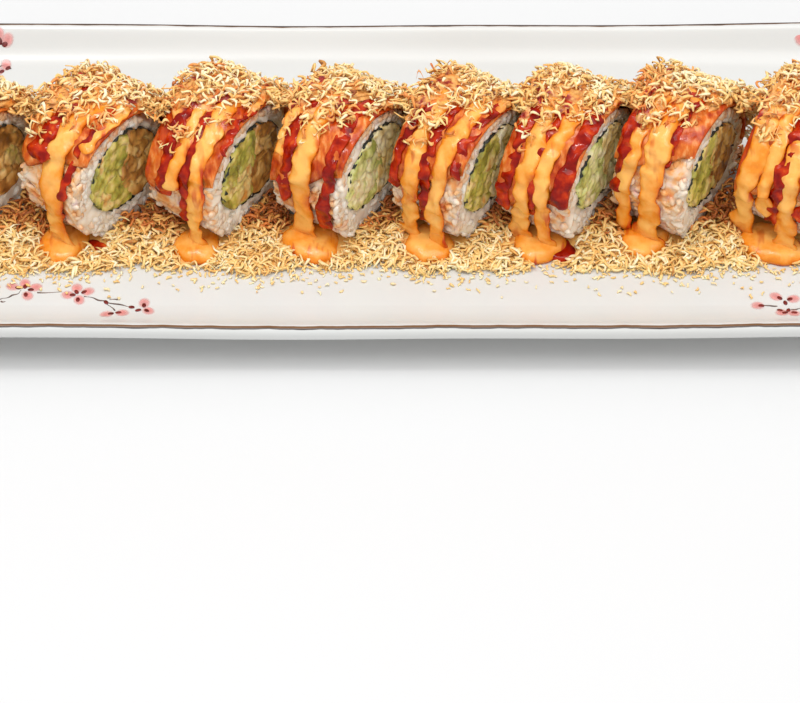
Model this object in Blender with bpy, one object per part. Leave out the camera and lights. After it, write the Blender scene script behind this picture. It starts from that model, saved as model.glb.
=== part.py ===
"""A shaggy dog roll on its long plate: eight slices of an inside-out sushi roll in a row.

Each slice has a ring of rice, a nori sheet, avocado and fried shrimp. Over it lies a sheet of
crab with thick drizzles that run down into a pool, and a mound of crunchy shreds on top.
A bed of the same shreds lies on the plate before and behind the row.
Lengths are in metres. X runs along the plate, Y to its back, Z up, and the origin is the
middle of the plate's foot.
"""

import math
import random

import bmesh
import bpy
from mathutils import Vector

MM = 0.001

# Plate, a hand-made slab with a raised lip that rises towards its corners
PLATE_LENGTH = 346 * MM
PLATE_DEPTH = 126 * MM
PLATE_CORNER = 13 * MM
LIP_HEIGHT = 17 * MM
LIP_RISE = 2.2 * MM
FLOOR_HEIGHT = 10 * MM
FOOT_HEIGHT = 4.5 * MM
FLOOR_INSET = 15 * MM
FOOT_INSET = 17 * MM
FOOT_WIDTH = 5 * MM
CORNER_STEPS = 7
SIDE_STEPS = 11
END_STEPS = 4

# One slice: across is the way to its back, along is its axis
SLICE_LENGTH = 21.5 * MM
RICE_HALF_WIDTH = 19.7 * MM
RICE_HALF_HEIGHT = 19.6 * MM
RICE_FLAT = 1.6 * MM
NORI_HALF_WIDTH = 13.5 * MM
NORI_HALF_HEIGHT = 12.8 * MM
NORI_CENTRE = 20.8 * MM
NORI_THICK = 0.5 * MM
NORI_NOTCH = 0.13
FILLING_PROUD = 0.7 * MM
GAP = 0.35 * MM
FILLING_GAP = 0.5 * MM
STEPS_ROUND = 24
RICE_LUMP = 0.3 * MM

# Crab sheet and the mound of shreds on it
SHEET_THICK = 2.4 * MM
MOUND_THICK = 2.6 * MM
MOUND_FROM = -50
MOUND_TO = 75
SHEET_LUMP = 0.5 * MM

# Drizzles and the pool in front of each slice
DRIZZLE_HEIGHT = 2.2 * MM
DRIZZLE_SUNK = 1.0 * MM
DRIZZLE_START = 48
DRIZZLE_STEPS = 7
POOL_CENTRE = -18.5 * MM
POOL_HALF_DEPTH = 6.5 * MM
POOL_HEIGHT = 3.0 * MM
POOL_STEPS = 10
POOL_SHIFT = 0.5

# Shreds and the bed of them on the plate
SHRED_LENGTH = 5.5 * MM
SHRED_WIDTH = 1.1 * MM
SHREDS_ON_SLICE = 9
SHREDS_FRONT = 30
SHREDS_BACK = 12
BED_HALF_LENGTH = 138 * MM
BED_STEP = 5 * MM
BED_HEIGHT = 3.0 * MM
BED_DEPTH_FRONT = 5.5 * MM
BED_DEPTH_BACK = 6 * MM
FOOT_HALF_LENGTH = 11.3 * MM
FOOT_HALF_WIDTH = 15.5 * MM
FOOT_STEPS = 20
POOL_EDGE_STEPS = 60
POOL_CLEAR = 1.1

# The row in millimetres and degrees. Each slice has its centre along X and Y, the turn of its
# cut face to the front, the front end of its crab sheet from the top, its pool's half width,
# and its drizzles. A drizzle has its place along the axis as a share of the half length, its
# width, and its front end from the top, where POOL means that it runs down into the pool.
POOL = -125
SLICES = (
    (-115, -8.0, 38, -75, 7.5, ((-0.45, 6, POOL), (0.45, 5, POOL))),
    (-78, -8.5, 39, -64, 7.0, ((-0.62, 4.5, -112), (0.12, 6.5, POOL), (0.8, 4, -45))),
    (-43.5, -7.5, 33, -84, 6.5, ((-0.1, 4.2, -84), (0.58, 5.5, POOL))),
    (-9, -8.0, 33, -98, 9.0, ((-0.72, 3.5, -112), (-0.05, 6.5, POOL))),
    (24, -8.5, 34, -80, 7.5, ((-0.4, 5.5, POOL), (0.48, 5, POOL))),
    (54, -8.0, 31, -100, 7.5, ((-0.3, 5.2, POOL), (0.28, 5, POOL))),
    (85, -7.5, 32, -66, 6.5, ((-0.6, 4.5, POOL), (-0.02, 5.5, POOL))),
    (120, -8.0, 31, -90, 9.5, ((-0.67, 6, POOL), (-0.2, 4.5, -106), (0.45, 5.5, POOL))),
)

COLOURS = {
    "plate": ((0.86, 0.85, 0.83), 0.15),
    "rice": ((0.85, 0.84, 0.78), 0.45),
    "nori": ((0.02, 0.03, 0.015), 0.4),
    "avocado": ((0.48, 0.56, 0.16), 0.4),
    "shrimp": ((0.80, 0.60, 0.34), 0.45),
    "topping": ((0.85, 0.38, 0.09), 0.3),
    "crunch": ((0.86, 0.58, 0.25), 0.6),
}


def clear_scene():
    for obj in list(bpy.data.objects):
        bpy.data.objects.remove(obj)


def material(kind):
    """The Principled material of one kind of piece, made once."""
    found = bpy.data.materials.get(kind)
    if found:
        return found
    made = bpy.data.materials.new(kind)
    made.use_nodes = True
    shader = made.node_tree.nodes["Principled BSDF"]
    colour, roughness = COLOURS[kind]
    shader.inputs["Base Color"].default_value = (*colour, 1)
    shader.inputs["Roughness"].default_value = roughness
    shader.inputs["Metallic"].default_value = 0.0
    made.diffuse_color = (*colour, 1)
    return made


def loft(name, loops, kind, ring=False):
    """An object whose skin joins each loop of points to the next.

    With ring, the last loop joins the first, as in a tube. Otherwise both ends are capped.
    """
    bm = bmesh.new()
    rows = [[bm.verts.new(p) for p in loop] for loop in loops]
    pairs = list(zip(rows, rows[1:]))
    if ring:
        pairs.append((rows[-1], rows[0]))
    count = len(rows[0])
    for a, b in pairs:
        for i in range(count):
            j = (i + 1) % count
            bm.faces.new((a[i], a[j], b[j], b[i]))
    if not ring:
        bm.faces.new(list(reversed(rows[0])))
        bm.faces.new(rows[-1])
    bmesh.ops.recalc_face_normals(bm, faces=bm.faces)
    if bm.calc_volume(signed=True) < 0:
        bmesh.ops.reverse_faces(bm, faces=bm.faces)
    mesh = bpy.data.meshes.new(name)
    bm.to_mesh(mesh)
    bm.free()
    mesh.materials.append(material(kind))
    obj = bpy.data.objects.new(name, mesh)
    bpy.context.scene.collection.objects.link(obj)
    return obj


def keep_main_body(mesh):
    """Drops loose scraps and the walls of sealed hollows, so that one closed skin is left."""
    bm = bmesh.new()
    bm.from_mesh(mesh)
    bodies = []
    unseen = set(bm.verts)
    while unseen:
        reached = [unseen.pop()]
        body = set(reached)
        while reached:
            for edge in reached.pop().link_edges:
                for vert in edge.verts:
                    if vert in unseen:
                        unseen.remove(vert)
                        body.add(vert)
                        reached.append(vert)
        bodies.append(body)
    largest = max(bodies, key=len)
    bmesh.ops.delete(bm, geom=[v for v in bm.verts if v not in largest], context="VERTS")
    bm.to_mesh(mesh)
    bm.free()


def fuse(core, pieces):
    """Joins the pieces to the core by one Boolean union, and removes them."""
    group = bpy.data.collections.new(core.name + "_pieces")
    bpy.context.scene.collection.children.link(group)
    for piece in pieces:
        bpy.context.scene.collection.objects.unlink(piece)
        group.objects.link(piece)
    union = core.modifiers.new("union", "BOOLEAN")
    union.operation = "UNION"
    union.operand_type = "COLLECTION"
    union.collection = group
    union.solver = "MANIFOLD"
    bpy.context.view_layer.update()
    graph = bpy.context.evaluated_depsgraph_get()
    mesh = bpy.data.meshes.new_from_object(core.evaluated_get(graph))
    core.modifiers.clear()
    core.data = mesh
    keep_main_body(mesh)
    for piece in list(group.objects):
        bpy.data.objects.remove(piece)
    bpy.data.collections.remove(group)


def plate_outline(inset):
    """Points of the plate's rounded rectangle, set in from its edge, anticlockwise from above."""
    half_x = PLATE_LENGTH / 2 - PLATE_CORNER
    half_y = PLATE_DEPTH / 2 - PLATE_CORNER
    radius = max(PLATE_CORNER - inset, PLATE_CORNER * 0.25)
    slack = PLATE_CORNER - inset - radius
    half_x += slack
    half_y += slack
    corners = ((half_x, half_y, 0), (-half_x, half_y, 90), (-half_x, -half_y, 180), (half_x, -half_y, 270))
    points = []
    for n, (cx, cy, start) in enumerate(corners):
        for i in range(CORNER_STEPS):
            angle = math.radians(start + 90 * i / (CORNER_STEPS - 1))
            points.append((cx + radius * math.cos(angle), cy + radius * math.sin(angle)))
        end = points[-1]
        nx, ny, following = corners[(n + 1) % 4]
        turn = math.radians(following)
        goal = (nx + radius * math.cos(turn), ny + radius * math.sin(turn))
        steps = SIDE_STEPS if n % 2 == 0 else END_STEPS
        for i in range(1, steps):
            t = i / steps
            points.append((end[0] + (goal[0] - end[0]) * t, end[1] + (goal[1] - end[1]) * t))
    return points


def lip_lift(x):
    """How far the hand-made lip stands above its middle at x."""
    share = x / (PLATE_LENGTH / 2)
    return LIP_RISE * share * share + 0.25 * MM * math.sin(x / (17 * MM)) * (1 - share * share)


def plate_loop(inset, height, lift=0.0):
    """One closed line round the plate. lift is the share of the lip's rise that it follows."""
    return [Vector((x, y, height + lift * lip_lift(x))) for x, y in plate_outline(inset)]


def make_plate():
    """The plate, from the middle of its underside round the lip to its floor."""
    sections = (
        (FOOT_INSET + FOOT_WIDTH + 1 * MM, FOOT_HEIGHT, 0),
        (FOOT_INSET + FOOT_WIDTH, 0, 0),
        (FOOT_INSET, 0, 0),
        (FOOT_INSET - 1.5 * MM, FOOT_HEIGHT * 0.8, 0),
        (6 * MM, 8 * MM, 0.4),
        (0.8 * MM, LIP_HEIGHT - 4.2 * MM, 1),
        (0, LIP_HEIGHT - 2.5 * MM, 1),
        (0.5 * MM, LIP_HEIGHT - 0.4 * MM, 1),
        (1.8 * MM, LIP_HEIGHT, 1),
        (3.2 * MM, LIP_HEIGHT - 0.8 * MM, 1),
        (8 * MM, FLOOR_HEIGHT + 2 * MM, 0.6),
        (FLOOR_INSET, FLOOR_HEIGHT, 0),
    )
    loft("plate", [plate_loop(*section) for section in sections], "plate")


class Slice:
    """One slice of the roll: its place, its turn and its uneven outlines."""

    def __init__(self, number, x, y, turn, sheet_end, pool_half, drizzles):
        self.number = number
        self.centre = Vector((x * MM, y * MM, FLOOR_HEIGHT))
        angle = math.radians(turn)
        self.along = Vector((math.cos(angle), -math.sin(angle), 0))
        self.across = Vector((math.sin(angle), math.cos(angle), 0))
        self.sheet_end = sheet_end
        self.pool_half = pool_half * MM
        feet = [place for place, width, end in drizzles if end == POOL]
        self.pool_place = POOL_SHIFT * sum(feet) / len(feet) * SLICE_LENGTH / 2
        self.drizzles = drizzles
        self.random = random.Random(40 + number)
        self.phases = [self.random.uniform(0, 2 * math.pi) for _ in range(4)]
        self.lumps = [
            [self.random.uniform(-1, 1) for _ in range(STEPS_ROUND)] for _ in range(3)
        ]

    def place(self, along, across, height):
        """The point of the plate's frame for a point of the slice's frame."""
        return self.centre + self.along * along + self.across * across + Vector((0, 0, height))

    def rice(self, angle, out=0.0, row=1):
        """(across, height) on the rice's outside, at an angle from the top to the back."""
        uneven = 1 + 0.02 * math.sin(2 * angle + self.phases[0])
        uneven += 0.012 * math.sin(3 * angle + self.phases[1])
        step = round(angle / (2 * math.pi) * STEPS_ROUND) % STEPS_ROUND
        lump = RICE_LUMP * self.lumps[row][step]
        across = (RICE_HALF_WIDTH * uneven + lump + out) * math.sin(angle)
        height = (RICE_HALF_HEIGHT * uneven + lump + out) * math.cos(angle)
        return across, max(height + RICE_HALF_HEIGHT - RICE_FLAT, GAP)

    def nori(self, angle, out=0.0):
        """(across, height) on the nori's outside, with the notch where its end is tucked in."""
        from_seam = (angle % (2 * math.pi)) - math.radians(190)
        uneven = 1 - NORI_NOTCH * math.exp(-((from_seam / 0.42) ** 2))
        uneven += 0.025 * math.sin(2 * angle + self.phases[2])
        uneven += 0.02 * math.sin(4 * angle + self.phases[3])
        across = (NORI_HALF_WIDTH * uneven + out) * math.sin(angle)
        height = (NORI_HALF_HEIGHT * uneven + out) * math.cos(angle)
        return across, height + NORI_CENTRE

    def divide(self, share):
        """(across, height) on the line between avocado and shrimp, from the top down."""
        low, high = NORI_CENTRE - NORI_HALF_HEIGHT * 0.75, NORI_CENTRE + NORI_HALF_HEIGHT * 0.8
        bend = math.sin(share * math.pi * 1.6 + self.phases[2]) * 2.2 * MM
        return bend + 1 * MM, high + (low - high) * share


def angles_round():
    return [2 * math.pi * i / STEPS_ROUND for i in range(STEPS_ROUND)]


def make_rice(piece):
    """The ring of rice, with the hole that holds the nori and the filling."""
    loops = []
    for row, share in enumerate((-1, 0, 1)):
        u = share * SLICE_LENGTH / 2
        loops.append([piece.place(u, *piece.rice(a, 0, row)) for a in angles_round()])
    for share in (1, -1):
        u = share * SLICE_LENGTH / 2
        loops.append([piece.place(u, *piece.nori(a, GAP)) for a in angles_round()])
    loft(f"rice_{piece.number}", loops, "rice", ring=True)


def make_nori(piece):
    """The nori sheet, a thin closed band between rice and filling."""
    half = SLICE_LENGTH / 2 + 0.2 * MM
    loops = []
    for u, out in ((-half, 0), (half, 0), (half, -NORI_THICK), (-half, -NORI_THICK)):
        loops.append([piece.place(u, *piece.nori(a, out)) for a in angles_round()])
    loft(f"nori_{piece.number}", loops, "nori", ring=True)


def make_fillings(piece):
    """Avocado at the front half of the nori and fried shrimp at its back half."""
    inside = -NORI_THICK - FILLING_GAP
    middle = [piece.divide(i / 4) for i in range(5)]
    last = STEPS_ROUND // 2 - 1
    back = [piece.nori(2 * math.pi * i / STEPS_ROUND, inside) for i in range(1, last + 1)]
    front = [piece.nori(-2 * math.pi * i / STEPS_ROUND, inside) for i in range(1, last + 1)]
    for name, side, shift in (("avocado", front, -0.4 * MM), ("shrimp", back, 0.4 * MM)):
        outline = list(side) + [(w + shift, h) for w, h in reversed(middle)]
        half = SLICE_LENGTH / 2 + FILLING_PROUD
        loops = [[piece.place(u, w, h) for w, h in outline] for u in (-half, half)]
        loft(f"{name}_{piece.number}", loops, name)


def mound(piece, degrees, share):
    """Thickness of the crab sheet with the mound of shreds that lies on its top."""
    rise = (degrees - MOUND_FROM) / (MOUND_TO - MOUND_FROM)
    heap = math.sin(math.pi * min(max(rise, 0), 1)) ** 0.6 if 0 < rise < 1 else 0
    uneven = 0.8 + 0.2 * math.sin(degrees * 0.11 + piece.phases[1] + 2 * share)
    return SHEET_THICK + MOUND_THICK * heap * uneven


def make_sheet(piece):
    """The crab sheet draped over the slice, thicker on top by the mound of shreds."""
    step = 360 / STEPS_ROUND
    first = round(piece.sheet_end / step)
    last = round(100 / step)
    loops = []
    for i in range(first, last + 1):
        angle = math.radians(i * step)
        section = []
        for row, share in enumerate((-1, 0, 1)):
            u = share * (SLICE_LENGTH / 2 - 0.3 * MM)
            section.append(piece.place(u, *piece.rice(angle, GAP, row)))
        for row, share in ((2, 1), (1, 0), (0, -1)):
            u = share * (SLICE_LENGTH / 2 - 0.3 * MM)
            thick = mound(piece, i * step, share) + SHEET_LUMP * piece.lumps[row][i]
            section.append(piece.place(u, *piece.rice(angle, GAP + thick, row)))
        loops.append(section)
    return loft(f"topping_{piece.number}", loops, "topping")


def drizzle_path(piece, place, front_end):
    """Points down a drizzle with their outward angles, from behind the top to its front end."""
    points = []
    swing = piece.random.uniform(-1.0, 1.0) * MM
    for i in range(DRIZZLE_STEPS + 1):
        degrees = DRIZZLE_START + (front_end - DRIZZLE_START) * i / DRIZZLE_STEPS
        angle = math.radians(degrees)
        on_sheet = degrees > piece.sheet_end
        out = mound(piece, degrees, place) - DRIZZLE_SUNK if on_sheet else 0.5 * MM
        w, h = piece.rice(angle, 2 * GAP + out)
        u = place * SLICE_LENGTH / 2 + swing * math.sin(i * 0.9)
        points.append((u, w, h, angle))
    if front_end == POOL:
        u, w, h, angle = points[-1]
        points.append((u, w - 1.2 * MM, 1.2 * MM, math.radians(-80)))
    return points


def make_drizzle(piece, place, width, front_end):
    """One thick line of sauce with a low rounded section."""
    loops = []
    path = drizzle_path(piece, place, front_end)
    for n, (u, w, h, angle) in enumerate(path):
        end = n in (0, len(path) - 1)
        half = width * MM / 2 * (0.55 if end else 1 + 0.15 * math.sin(2.1 * n + piece.phases[0]))
        tall = DRIZZLE_HEIGHT * (0.6 if end else 1) + 0.5 * MM
        section = []
        for side, rise in ((-1, 0), (-0.55, 1), (0.55, 1), (1, 0)):
            across = w + rise * tall * math.sin(angle)
            height = h + rise * tall * math.cos(angle)
            section.append(piece.place(u + side * half, across, height))
        loops.append(section)
    return loft("drizzle", loops, "topping")


def make_pool(piece):
    """The low pool of sauce on the plate, in front of the slice."""
    loops = []
    for share, height in ((0.95, 0), (1, 0.35), (0.6, 1)):
        loop = []
        for i in range(POOL_STEPS):
            angle = 2 * math.pi * i / POOL_STEPS
            wobble = 1 + 0.08 * math.sin(3 * angle + piece.phases[3])
            u = piece.pool_place + piece.pool_half * share * wobble * math.cos(angle)
            w = POOL_CENTRE + POOL_HALF_DEPTH * share * wobble * math.sin(angle)
            loop.append(piece.place(u, w, GAP + (POOL_HEIGHT - GAP) * height))
        loops.append(loop)
    return loft("pool", loops, "topping")


def make_shred(rng, middle, direction, up):
    """A short bent shred of fried crunch, three-sided."""
    direction = direction.normalized()
    up = (up - direction * up.dot(direction)).normalized()
    side = direction.cross(up)
    half = SHRED_LENGTH / 2 * rng.uniform(0.75, 1.15)
    bend = rng.uniform(0.4, 1.4) * MM
    sway = rng.uniform(-1.2, 1.2) * MM
    loops = []
    for share in (-1, 0, 1):
        thick = SHRED_WIDTH * (0.8 if share else 1.0)
        spot = middle + direction * (half * share) + up * (bend * (share == 0)) + side * (sway * (share == 0))
        loops.append(
            [
                spot + up * (thick * 0.6 * math.cos(a)) + side * (thick * 0.6 * math.sin(a))
                for a in (0, 2 * math.pi / 3, 4 * math.pi / 3)
            ]
        )
    return loft("shred", loops, "crunch")


def slice_shreds(piece):
    """Shreds half sunk in the mound, spread over its top by an even rule."""
    shreds = []
    for n in range(SHREDS_ON_SLICE):
        degrees = MOUND_FROM + (MOUND_TO - MOUND_FROM) * ((n * 0.618 + 0.3) % 1)
        place = -0.72 + 1.44 * (n + 0.5) / SHREDS_ON_SLICE
        angle = math.radians(degrees)
        out = GAP + mound(piece, degrees, place) + 0.3 * MM
        w, h = piece.rice(angle, out)
        middle = piece.place(place * SLICE_LENGTH / 2, w, h)
        up = piece.across * math.sin(angle) + Vector((0, 0, math.cos(angle)))
        round_way = piece.across * math.cos(angle) - Vector((0, 0, math.sin(angle)))
        turn = piece.random.uniform(0, math.pi)
        direction = piece.along * math.cos(turn) + round_way * math.sin(turn)
        shreds.append(make_shred(piece.random, middle, direction, up))
    return shreds


def make_topping(piece):
    """The sheet, drizzles, pool and shreds of one slice, fused into one solid."""
    sheet = make_sheet(piece)
    pieces = [make_drizzle(piece, *drizzle) for drizzle in piece.drizzles]
    pieces.append(make_pool(piece))
    pieces += slice_shreds(piece)
    fuse(sheet, pieces)


def low_outline(pieces):
    """Points round what each slice has near the plate: its foot, its drizzles and its pool."""
    points = []
    for piece in pieces:
        for i in range(2 * FOOT_STEPS + 1):
            share = i / FOOT_STEPS - 1
            for side in (-1, 1):
                points.append(piece.place(FOOT_HALF_LENGTH * share, FOOT_HALF_WIDTH * side, 0))
                points.append(piece.place(FOOT_HALF_LENGTH * side, FOOT_HALF_WIDTH * share, 0))
        for i in range(POOL_EDGE_STEPS):
            angle = 2 * math.pi * i / POOL_EDGE_STEPS
            u = piece.pool_place + (piece.pool_half * POOL_CLEAR + GAP) * math.cos(angle)
            w = POOL_CENTRE + (POOL_HALF_DEPTH * POOL_CLEAR + GAP) * math.sin(angle)
            points.append(piece.place(u, w, 0))
    return points


def bed_edge(x, points, side, typical):
    """Y of the bed's edge next to the row: clear of all that stands within a step of x."""
    near = [p.y * side for p in points if abs(p.x - x) <= BED_STEP * 1.02]
    return side * (max(near, default=typical) + GAP)


def make_bed(name, pieces, side, depth, shreds):
    """The bed of shreds on one side of the row, side -1 in front and 1 behind."""
    points = low_outline(pieces)
    rng = random.Random(7 + side)
    count = round(2 * BED_HALF_LENGTH / BED_STEP)
    outer = max(p.y * side for p in points) + depth
    loops = []
    for i in range(count + 1):
        x = -BED_HALF_LENGTH + i * BED_STEP
        taper = max(0.25, math.sin(math.pi * min(i + 1, count + 1 - i, 6) / 12))
        inner = bed_edge(x, points, side, outer - depth)
        edge = side * (outer - depth * (1 - taper) - rng.uniform(0, 2.5) * MM)
        low = FLOOR_HEIGHT + GAP
        section = [Vector((x, inner, low))]
        for share, height in ((0.05, 0.7), (0.5, 1.0)):
            rise = BED_HEIGHT * taper * height * rng.uniform(0.7, 1.0) + 0.3 * MM
            section.append(Vector((x, inner + (edge - inner) * share, low + rise)))
        section.append(Vector((x, edge, low)))
        loops.append(section)
    bed = loft(name, loops, "crunch")
    strands = []
    for n in range(shreds):
        spot = (n + 0.5) / shreds
        i = min(int(spot * count), count - 1)
        row = loops[i]
        share = 0.25 + 0.5 * ((n * 0.618) % 1)
        middle = row[1].lerp(row[2], 0.4 + share)
        turn = rng.uniform(-0.6, 0.6)
        direction = Vector((math.cos(turn), math.sin(turn), 0))
        strands.append(make_shred(rng, middle, direction, Vector((0, 0, 1))))
    fuse(bed, strands)


def main():
    clear_scene()
    make_plate()
    pieces = [Slice(n + 1, *row) for n, row in enumerate(SLICES)]
    for piece in pieces:
        make_rice(piece)
        make_nori(piece)
        make_fillings(piece)
        make_topping(piece)
    make_bed("crunch_front", pieces, -1, BED_DEPTH_FRONT, SHREDS_FRONT)
    make_bed("crunch_back", pieces, 1, BED_DEPTH_BACK, SHREDS_BACK)


main()
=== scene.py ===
"""A shaggy dog roll on its long plate: the finished surfaces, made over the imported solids.

Every piece takes its place from those solids. A slice has a frame of its own: along its axis,
across it to the back, and height above the plate's floor. Angles round a slice run from its
top to its back. Lengths are in metres, angles in degrees where a table gives them.
"""

import math

import bpy
import numpy as np
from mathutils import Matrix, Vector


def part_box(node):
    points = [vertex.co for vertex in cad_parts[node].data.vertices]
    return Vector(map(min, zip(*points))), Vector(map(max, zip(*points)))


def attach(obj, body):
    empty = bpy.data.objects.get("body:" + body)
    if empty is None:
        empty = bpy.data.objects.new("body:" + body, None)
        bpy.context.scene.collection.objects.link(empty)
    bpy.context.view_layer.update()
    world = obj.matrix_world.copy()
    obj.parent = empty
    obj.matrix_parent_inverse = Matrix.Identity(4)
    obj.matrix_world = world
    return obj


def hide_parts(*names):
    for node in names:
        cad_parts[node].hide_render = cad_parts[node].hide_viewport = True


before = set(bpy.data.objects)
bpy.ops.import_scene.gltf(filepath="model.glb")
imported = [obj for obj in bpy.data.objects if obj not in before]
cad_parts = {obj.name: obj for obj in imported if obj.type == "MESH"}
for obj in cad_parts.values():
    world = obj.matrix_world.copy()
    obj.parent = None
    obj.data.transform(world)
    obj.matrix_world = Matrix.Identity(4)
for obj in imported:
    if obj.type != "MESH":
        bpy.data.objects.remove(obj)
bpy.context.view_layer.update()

MM = 0.001
TAU = 2 * math.pi
UP = np.array((0.0, 0.0, 1.0))

# The photograph's frame, and the camera that took it
IMAGE_WIDTH = 800
IMAGE_HEIGHT = 703
FOCAL_PIXELS = 2600
SENSOR = 36
CAMERA_ELEVATION = math.radians(44.2)
CAMERA_DISTANCE = 750 * MM
AIM = np.array((7 * MM, 0, 13.5 * MM))
AIM_ROW = 177

# Plate: its floor's height, how much its lip rises towards the ends, and its corner's radius
FLOOR = 10 * MM
LIP_RISE = 2.2 * MM
PLATE_CORNER = 13 * MM

# Slices: the axis above the plate's floor, and the radius that parts the rice's outside from
# its hole. Then what lies on the rice: the crab sheet, whose front is skewed along the slice,
# the heap of crunch, the runs of sauce with their height as a share of their width, and the
# pools and drips. Ends are degrees from the top, towards the back.
AXIS_HEIGHT = 18 * MM
EDGE_SPLIT = 17.3 * MM
GAP = 0.35 * MM
SHEET = 1.9 * MM
SHEET_BACK = 100
SHEET_SKEW = 26
HEAP = 2.3 * MM
HEAP_FROM = -44
HEAP_TO = 92
HEAP_SKEW = 38
MAYO_RISE = 0.17
SAUCE_RISE = 0.17
RUN_START = 20
RUN_LEAVES = -103
RUN_LOWEST = -117
POOL_ACROSS = -18.6 * MM
POOL_HALF_DEPTH = 7.4 * MM
POOL_HEIGHT = 4.0 * MM
DRIP_HEIGHT = 2.2 * MM
POOL_SHIFT = 0.5
POOL_ALONG = 2 * MM
DRIP_DEPTH = 0.8

# Each slice's front end of the crab sheet, its pool's half width in mm, and its runs of
# mayonnaise and of red sauce. A run has its place along the axis as a share of the half
# length, its width in mm, and its front end, or POOL where it reaches the pool.
POOL = -125
DRESSING = (
    (-75, 7.5, ((-0.45, 6, POOL), (0.45, 5, POOL)),
     ((-0.9, 3.6, -84), (0.0, 3.6, -88), (0.85, 3, -76))),
    (-64, 7.0, ((-0.75, 3.2, -38), (0.15, 7.2, POOL), (0.8, 4, -36)),
     ((-0.42, 6, -58), (0.58, 2.4, -80))),
    (-84, 6.5, ((-0.15, 4.2, -80), (0.45, 5.5, POOL)),
     ((-0.5, 4, -92), (0.15, 3.2, -118), (0.88, 1.8, -38))),
    (-82, 9.0, ((-0.86, 2.5, -58), (-0.12, 6.2, POOL)),
     ((-0.6, 4, -96), (0.62, 3.8, -122))),
    (-80, 7.5, ((-0.4, 5.5, POOL), (0.42, 5.2, POOL)),
     ((-0.82, 3, -88), (0.02, 3.4, -122), (0.84, 3, -56))),
    (-104, 7.5, ((-0.3, 5.2, POOL), (0.28, 5, POOL)),
     ((-0.72, 3.6, -104), (0.0, 3, -104), (0.76, 4.4, -84))),
    (-64, 6.5, ((-0.55, 4.5, POOL), (0.1, 6.5, POOL)),
     ((-0.8, 3.4, -92), (0.4, 2.6, -56))),
    (-90, 9.5, ((-0.67, 6, POOL), (-0.2, 4.5, -106), (0.45, 5.5, POOL)),
     ((0.12, 4.2, -122), (0.85, 4, -98))),
)

# Red sauce dripped on the plate, as a slice's number, places along and across it, and half width
DRIPS = ((2, 10.8, -13.4, 3.4), (6, 8.2, -17.4, 5.6), (8, 8.0, -18.0, 2.8))

# The fillings' looks: the colour of the painted shade in their creases, the stops of their
# tones as a position and a colour, and how their noise is stretched
AVOCADO_SWIRL = (1, 1, 0.6)
SHRIMP_SWIRL = (1, 1, 0.45)
FILLINGS = {
    "pale_avocado": ((128, 122, 52), (
        (0.05, 162, 166, 80), (0.26, 208, 212, 124), (0.48, 234, 232, 158), (0.7, 248, 238, 192),
        (0.95, 228, 196, 118)), AVOCADO_SWIRL),
    "avocado": ((118, 96, 36), (
        (0.05, 134, 126, 46), (0.26, 176, 172, 70), (0.48, 212, 196, 96), (0.7, 240, 218, 144),
        (0.95, 214, 150, 70)), AVOCADO_SWIRL),
    "shrimp": ((104, 66, 28), (
        (0.05, 126, 78, 28), (0.28, 180, 120, 54), (0.5, 216, 160, 80), (0.72, 240, 200, 128),
        (0.95, 190, 170, 78)), SHRIMP_SWIRL),
    "pale_shrimp": ((124, 92, 40), (
        (0.05, 218, 180, 106), (0.28, 240, 212, 142), (0.5, 250, 234, 180), (0.72, 253, 243, 208),
        (0.95, 210, 204, 122)), SHRIMP_SWIRL),
}

# A filling's chunk size, how far its chunks stand proud, and the slices where it is pale
CUT_FILLINGS = {"avocado": (5.4 * MM, 0.6 * MM, (4, 6)), "shrimp": (4.6 * MM, 0.7 * MM, (4, 5, 6))}

# Strands of fried crunch. A kind is its shortest and longest, thinnest and widest, and its
# curl, in mm.
ON_SLICE = (1.9, 4.6, 0.65, 1.25, 1.3)
IN_BED = (2.6, 5.6, 0.65, 1.15, 1.1)
CRUMB = (0.7, 2.0, 0.45, 0.9, 0.3)
STRANDS_ON_SLICE = 650
STRANDS_IN_GAP = 180
STRANDS_IN_BED = 4500
CRUMBS = 1700

# Where crunch lies: the beds' height, the strands over the gaps between slices and over each
# slice's other end, the pile against the row, and how far out the beds and the crumbs reach
BED_HEIGHT = 2.7 * MM
GAP_WIDTH = 5.5 * MM
GAP_FROM = 22
GAP_TO = 84
OVERHANG = 3.4 * MM
OVERHANG_FROM = -20
PILE = 2.6 * MM
ROW_EDGE = 16 * MM
FOOT_HALF_DEPTH = 14.6 * MM
BED_REACH = 46 * MM
CRUMBS_REACH = 146
CRUMBS_SPREAD = 2.8 * MM
CRUMBS_IN_FRONT = 0.75

# Grains of rice: their size, how many there are on each slice, and the angles between which
# they cover its side
GRAIN_LENGTH = 4.3 * MM
GRAIN_WIDTH = 2.3 * MM
GRAINS_ON_FACE = 110
GRAINS_IN_FRONT = 100
GRAINS_BEHIND = 70
GRAINS_FROM = -152
GRAINS_TO = 150

# Seeds of the random draws and of the waves. Most have a slice's number added.
SEED_RICE = 300
SEED_GRAINS = 500
SEED_NORI = 700
SEED_NORI_EDGE = 720
SEED_FILLING = 800
SEED_SHEET = 900
SEED_HEAP = 920
SEED_HEAP_SHAKE = 930
SEED_DRIPS = 77
SEED_ON_SLICE = 1100
SEED_BARE_PATCHES = 1150
SEED_IN_GAP = 1200
SEED_BED = 1300
SEED_BED_BODY = 1400
SEED_CRUMBS = 1500

# Stage: the floor's half width and its two tones, how bright the surroundings are, and the
# lights, each with its place, width and power
FLOOR_HALF = 3.0
FLOOR_TONES = (0.735, 0.725)
SURROUNDINGS = 0.78
LIGHTS = {"key": ((0.05, -0.2, 1.1), 0.8, 6.6), "glint": ((-0.3, -0.12, 1.05), 0.1, 1.7)}
LIGHTS_AIM = (0, 0, 0.02)

# The angles at which an edge in a cut face is tabled
TABLE = np.linspace(0, TAU, 360, endpoint=False)


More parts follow.
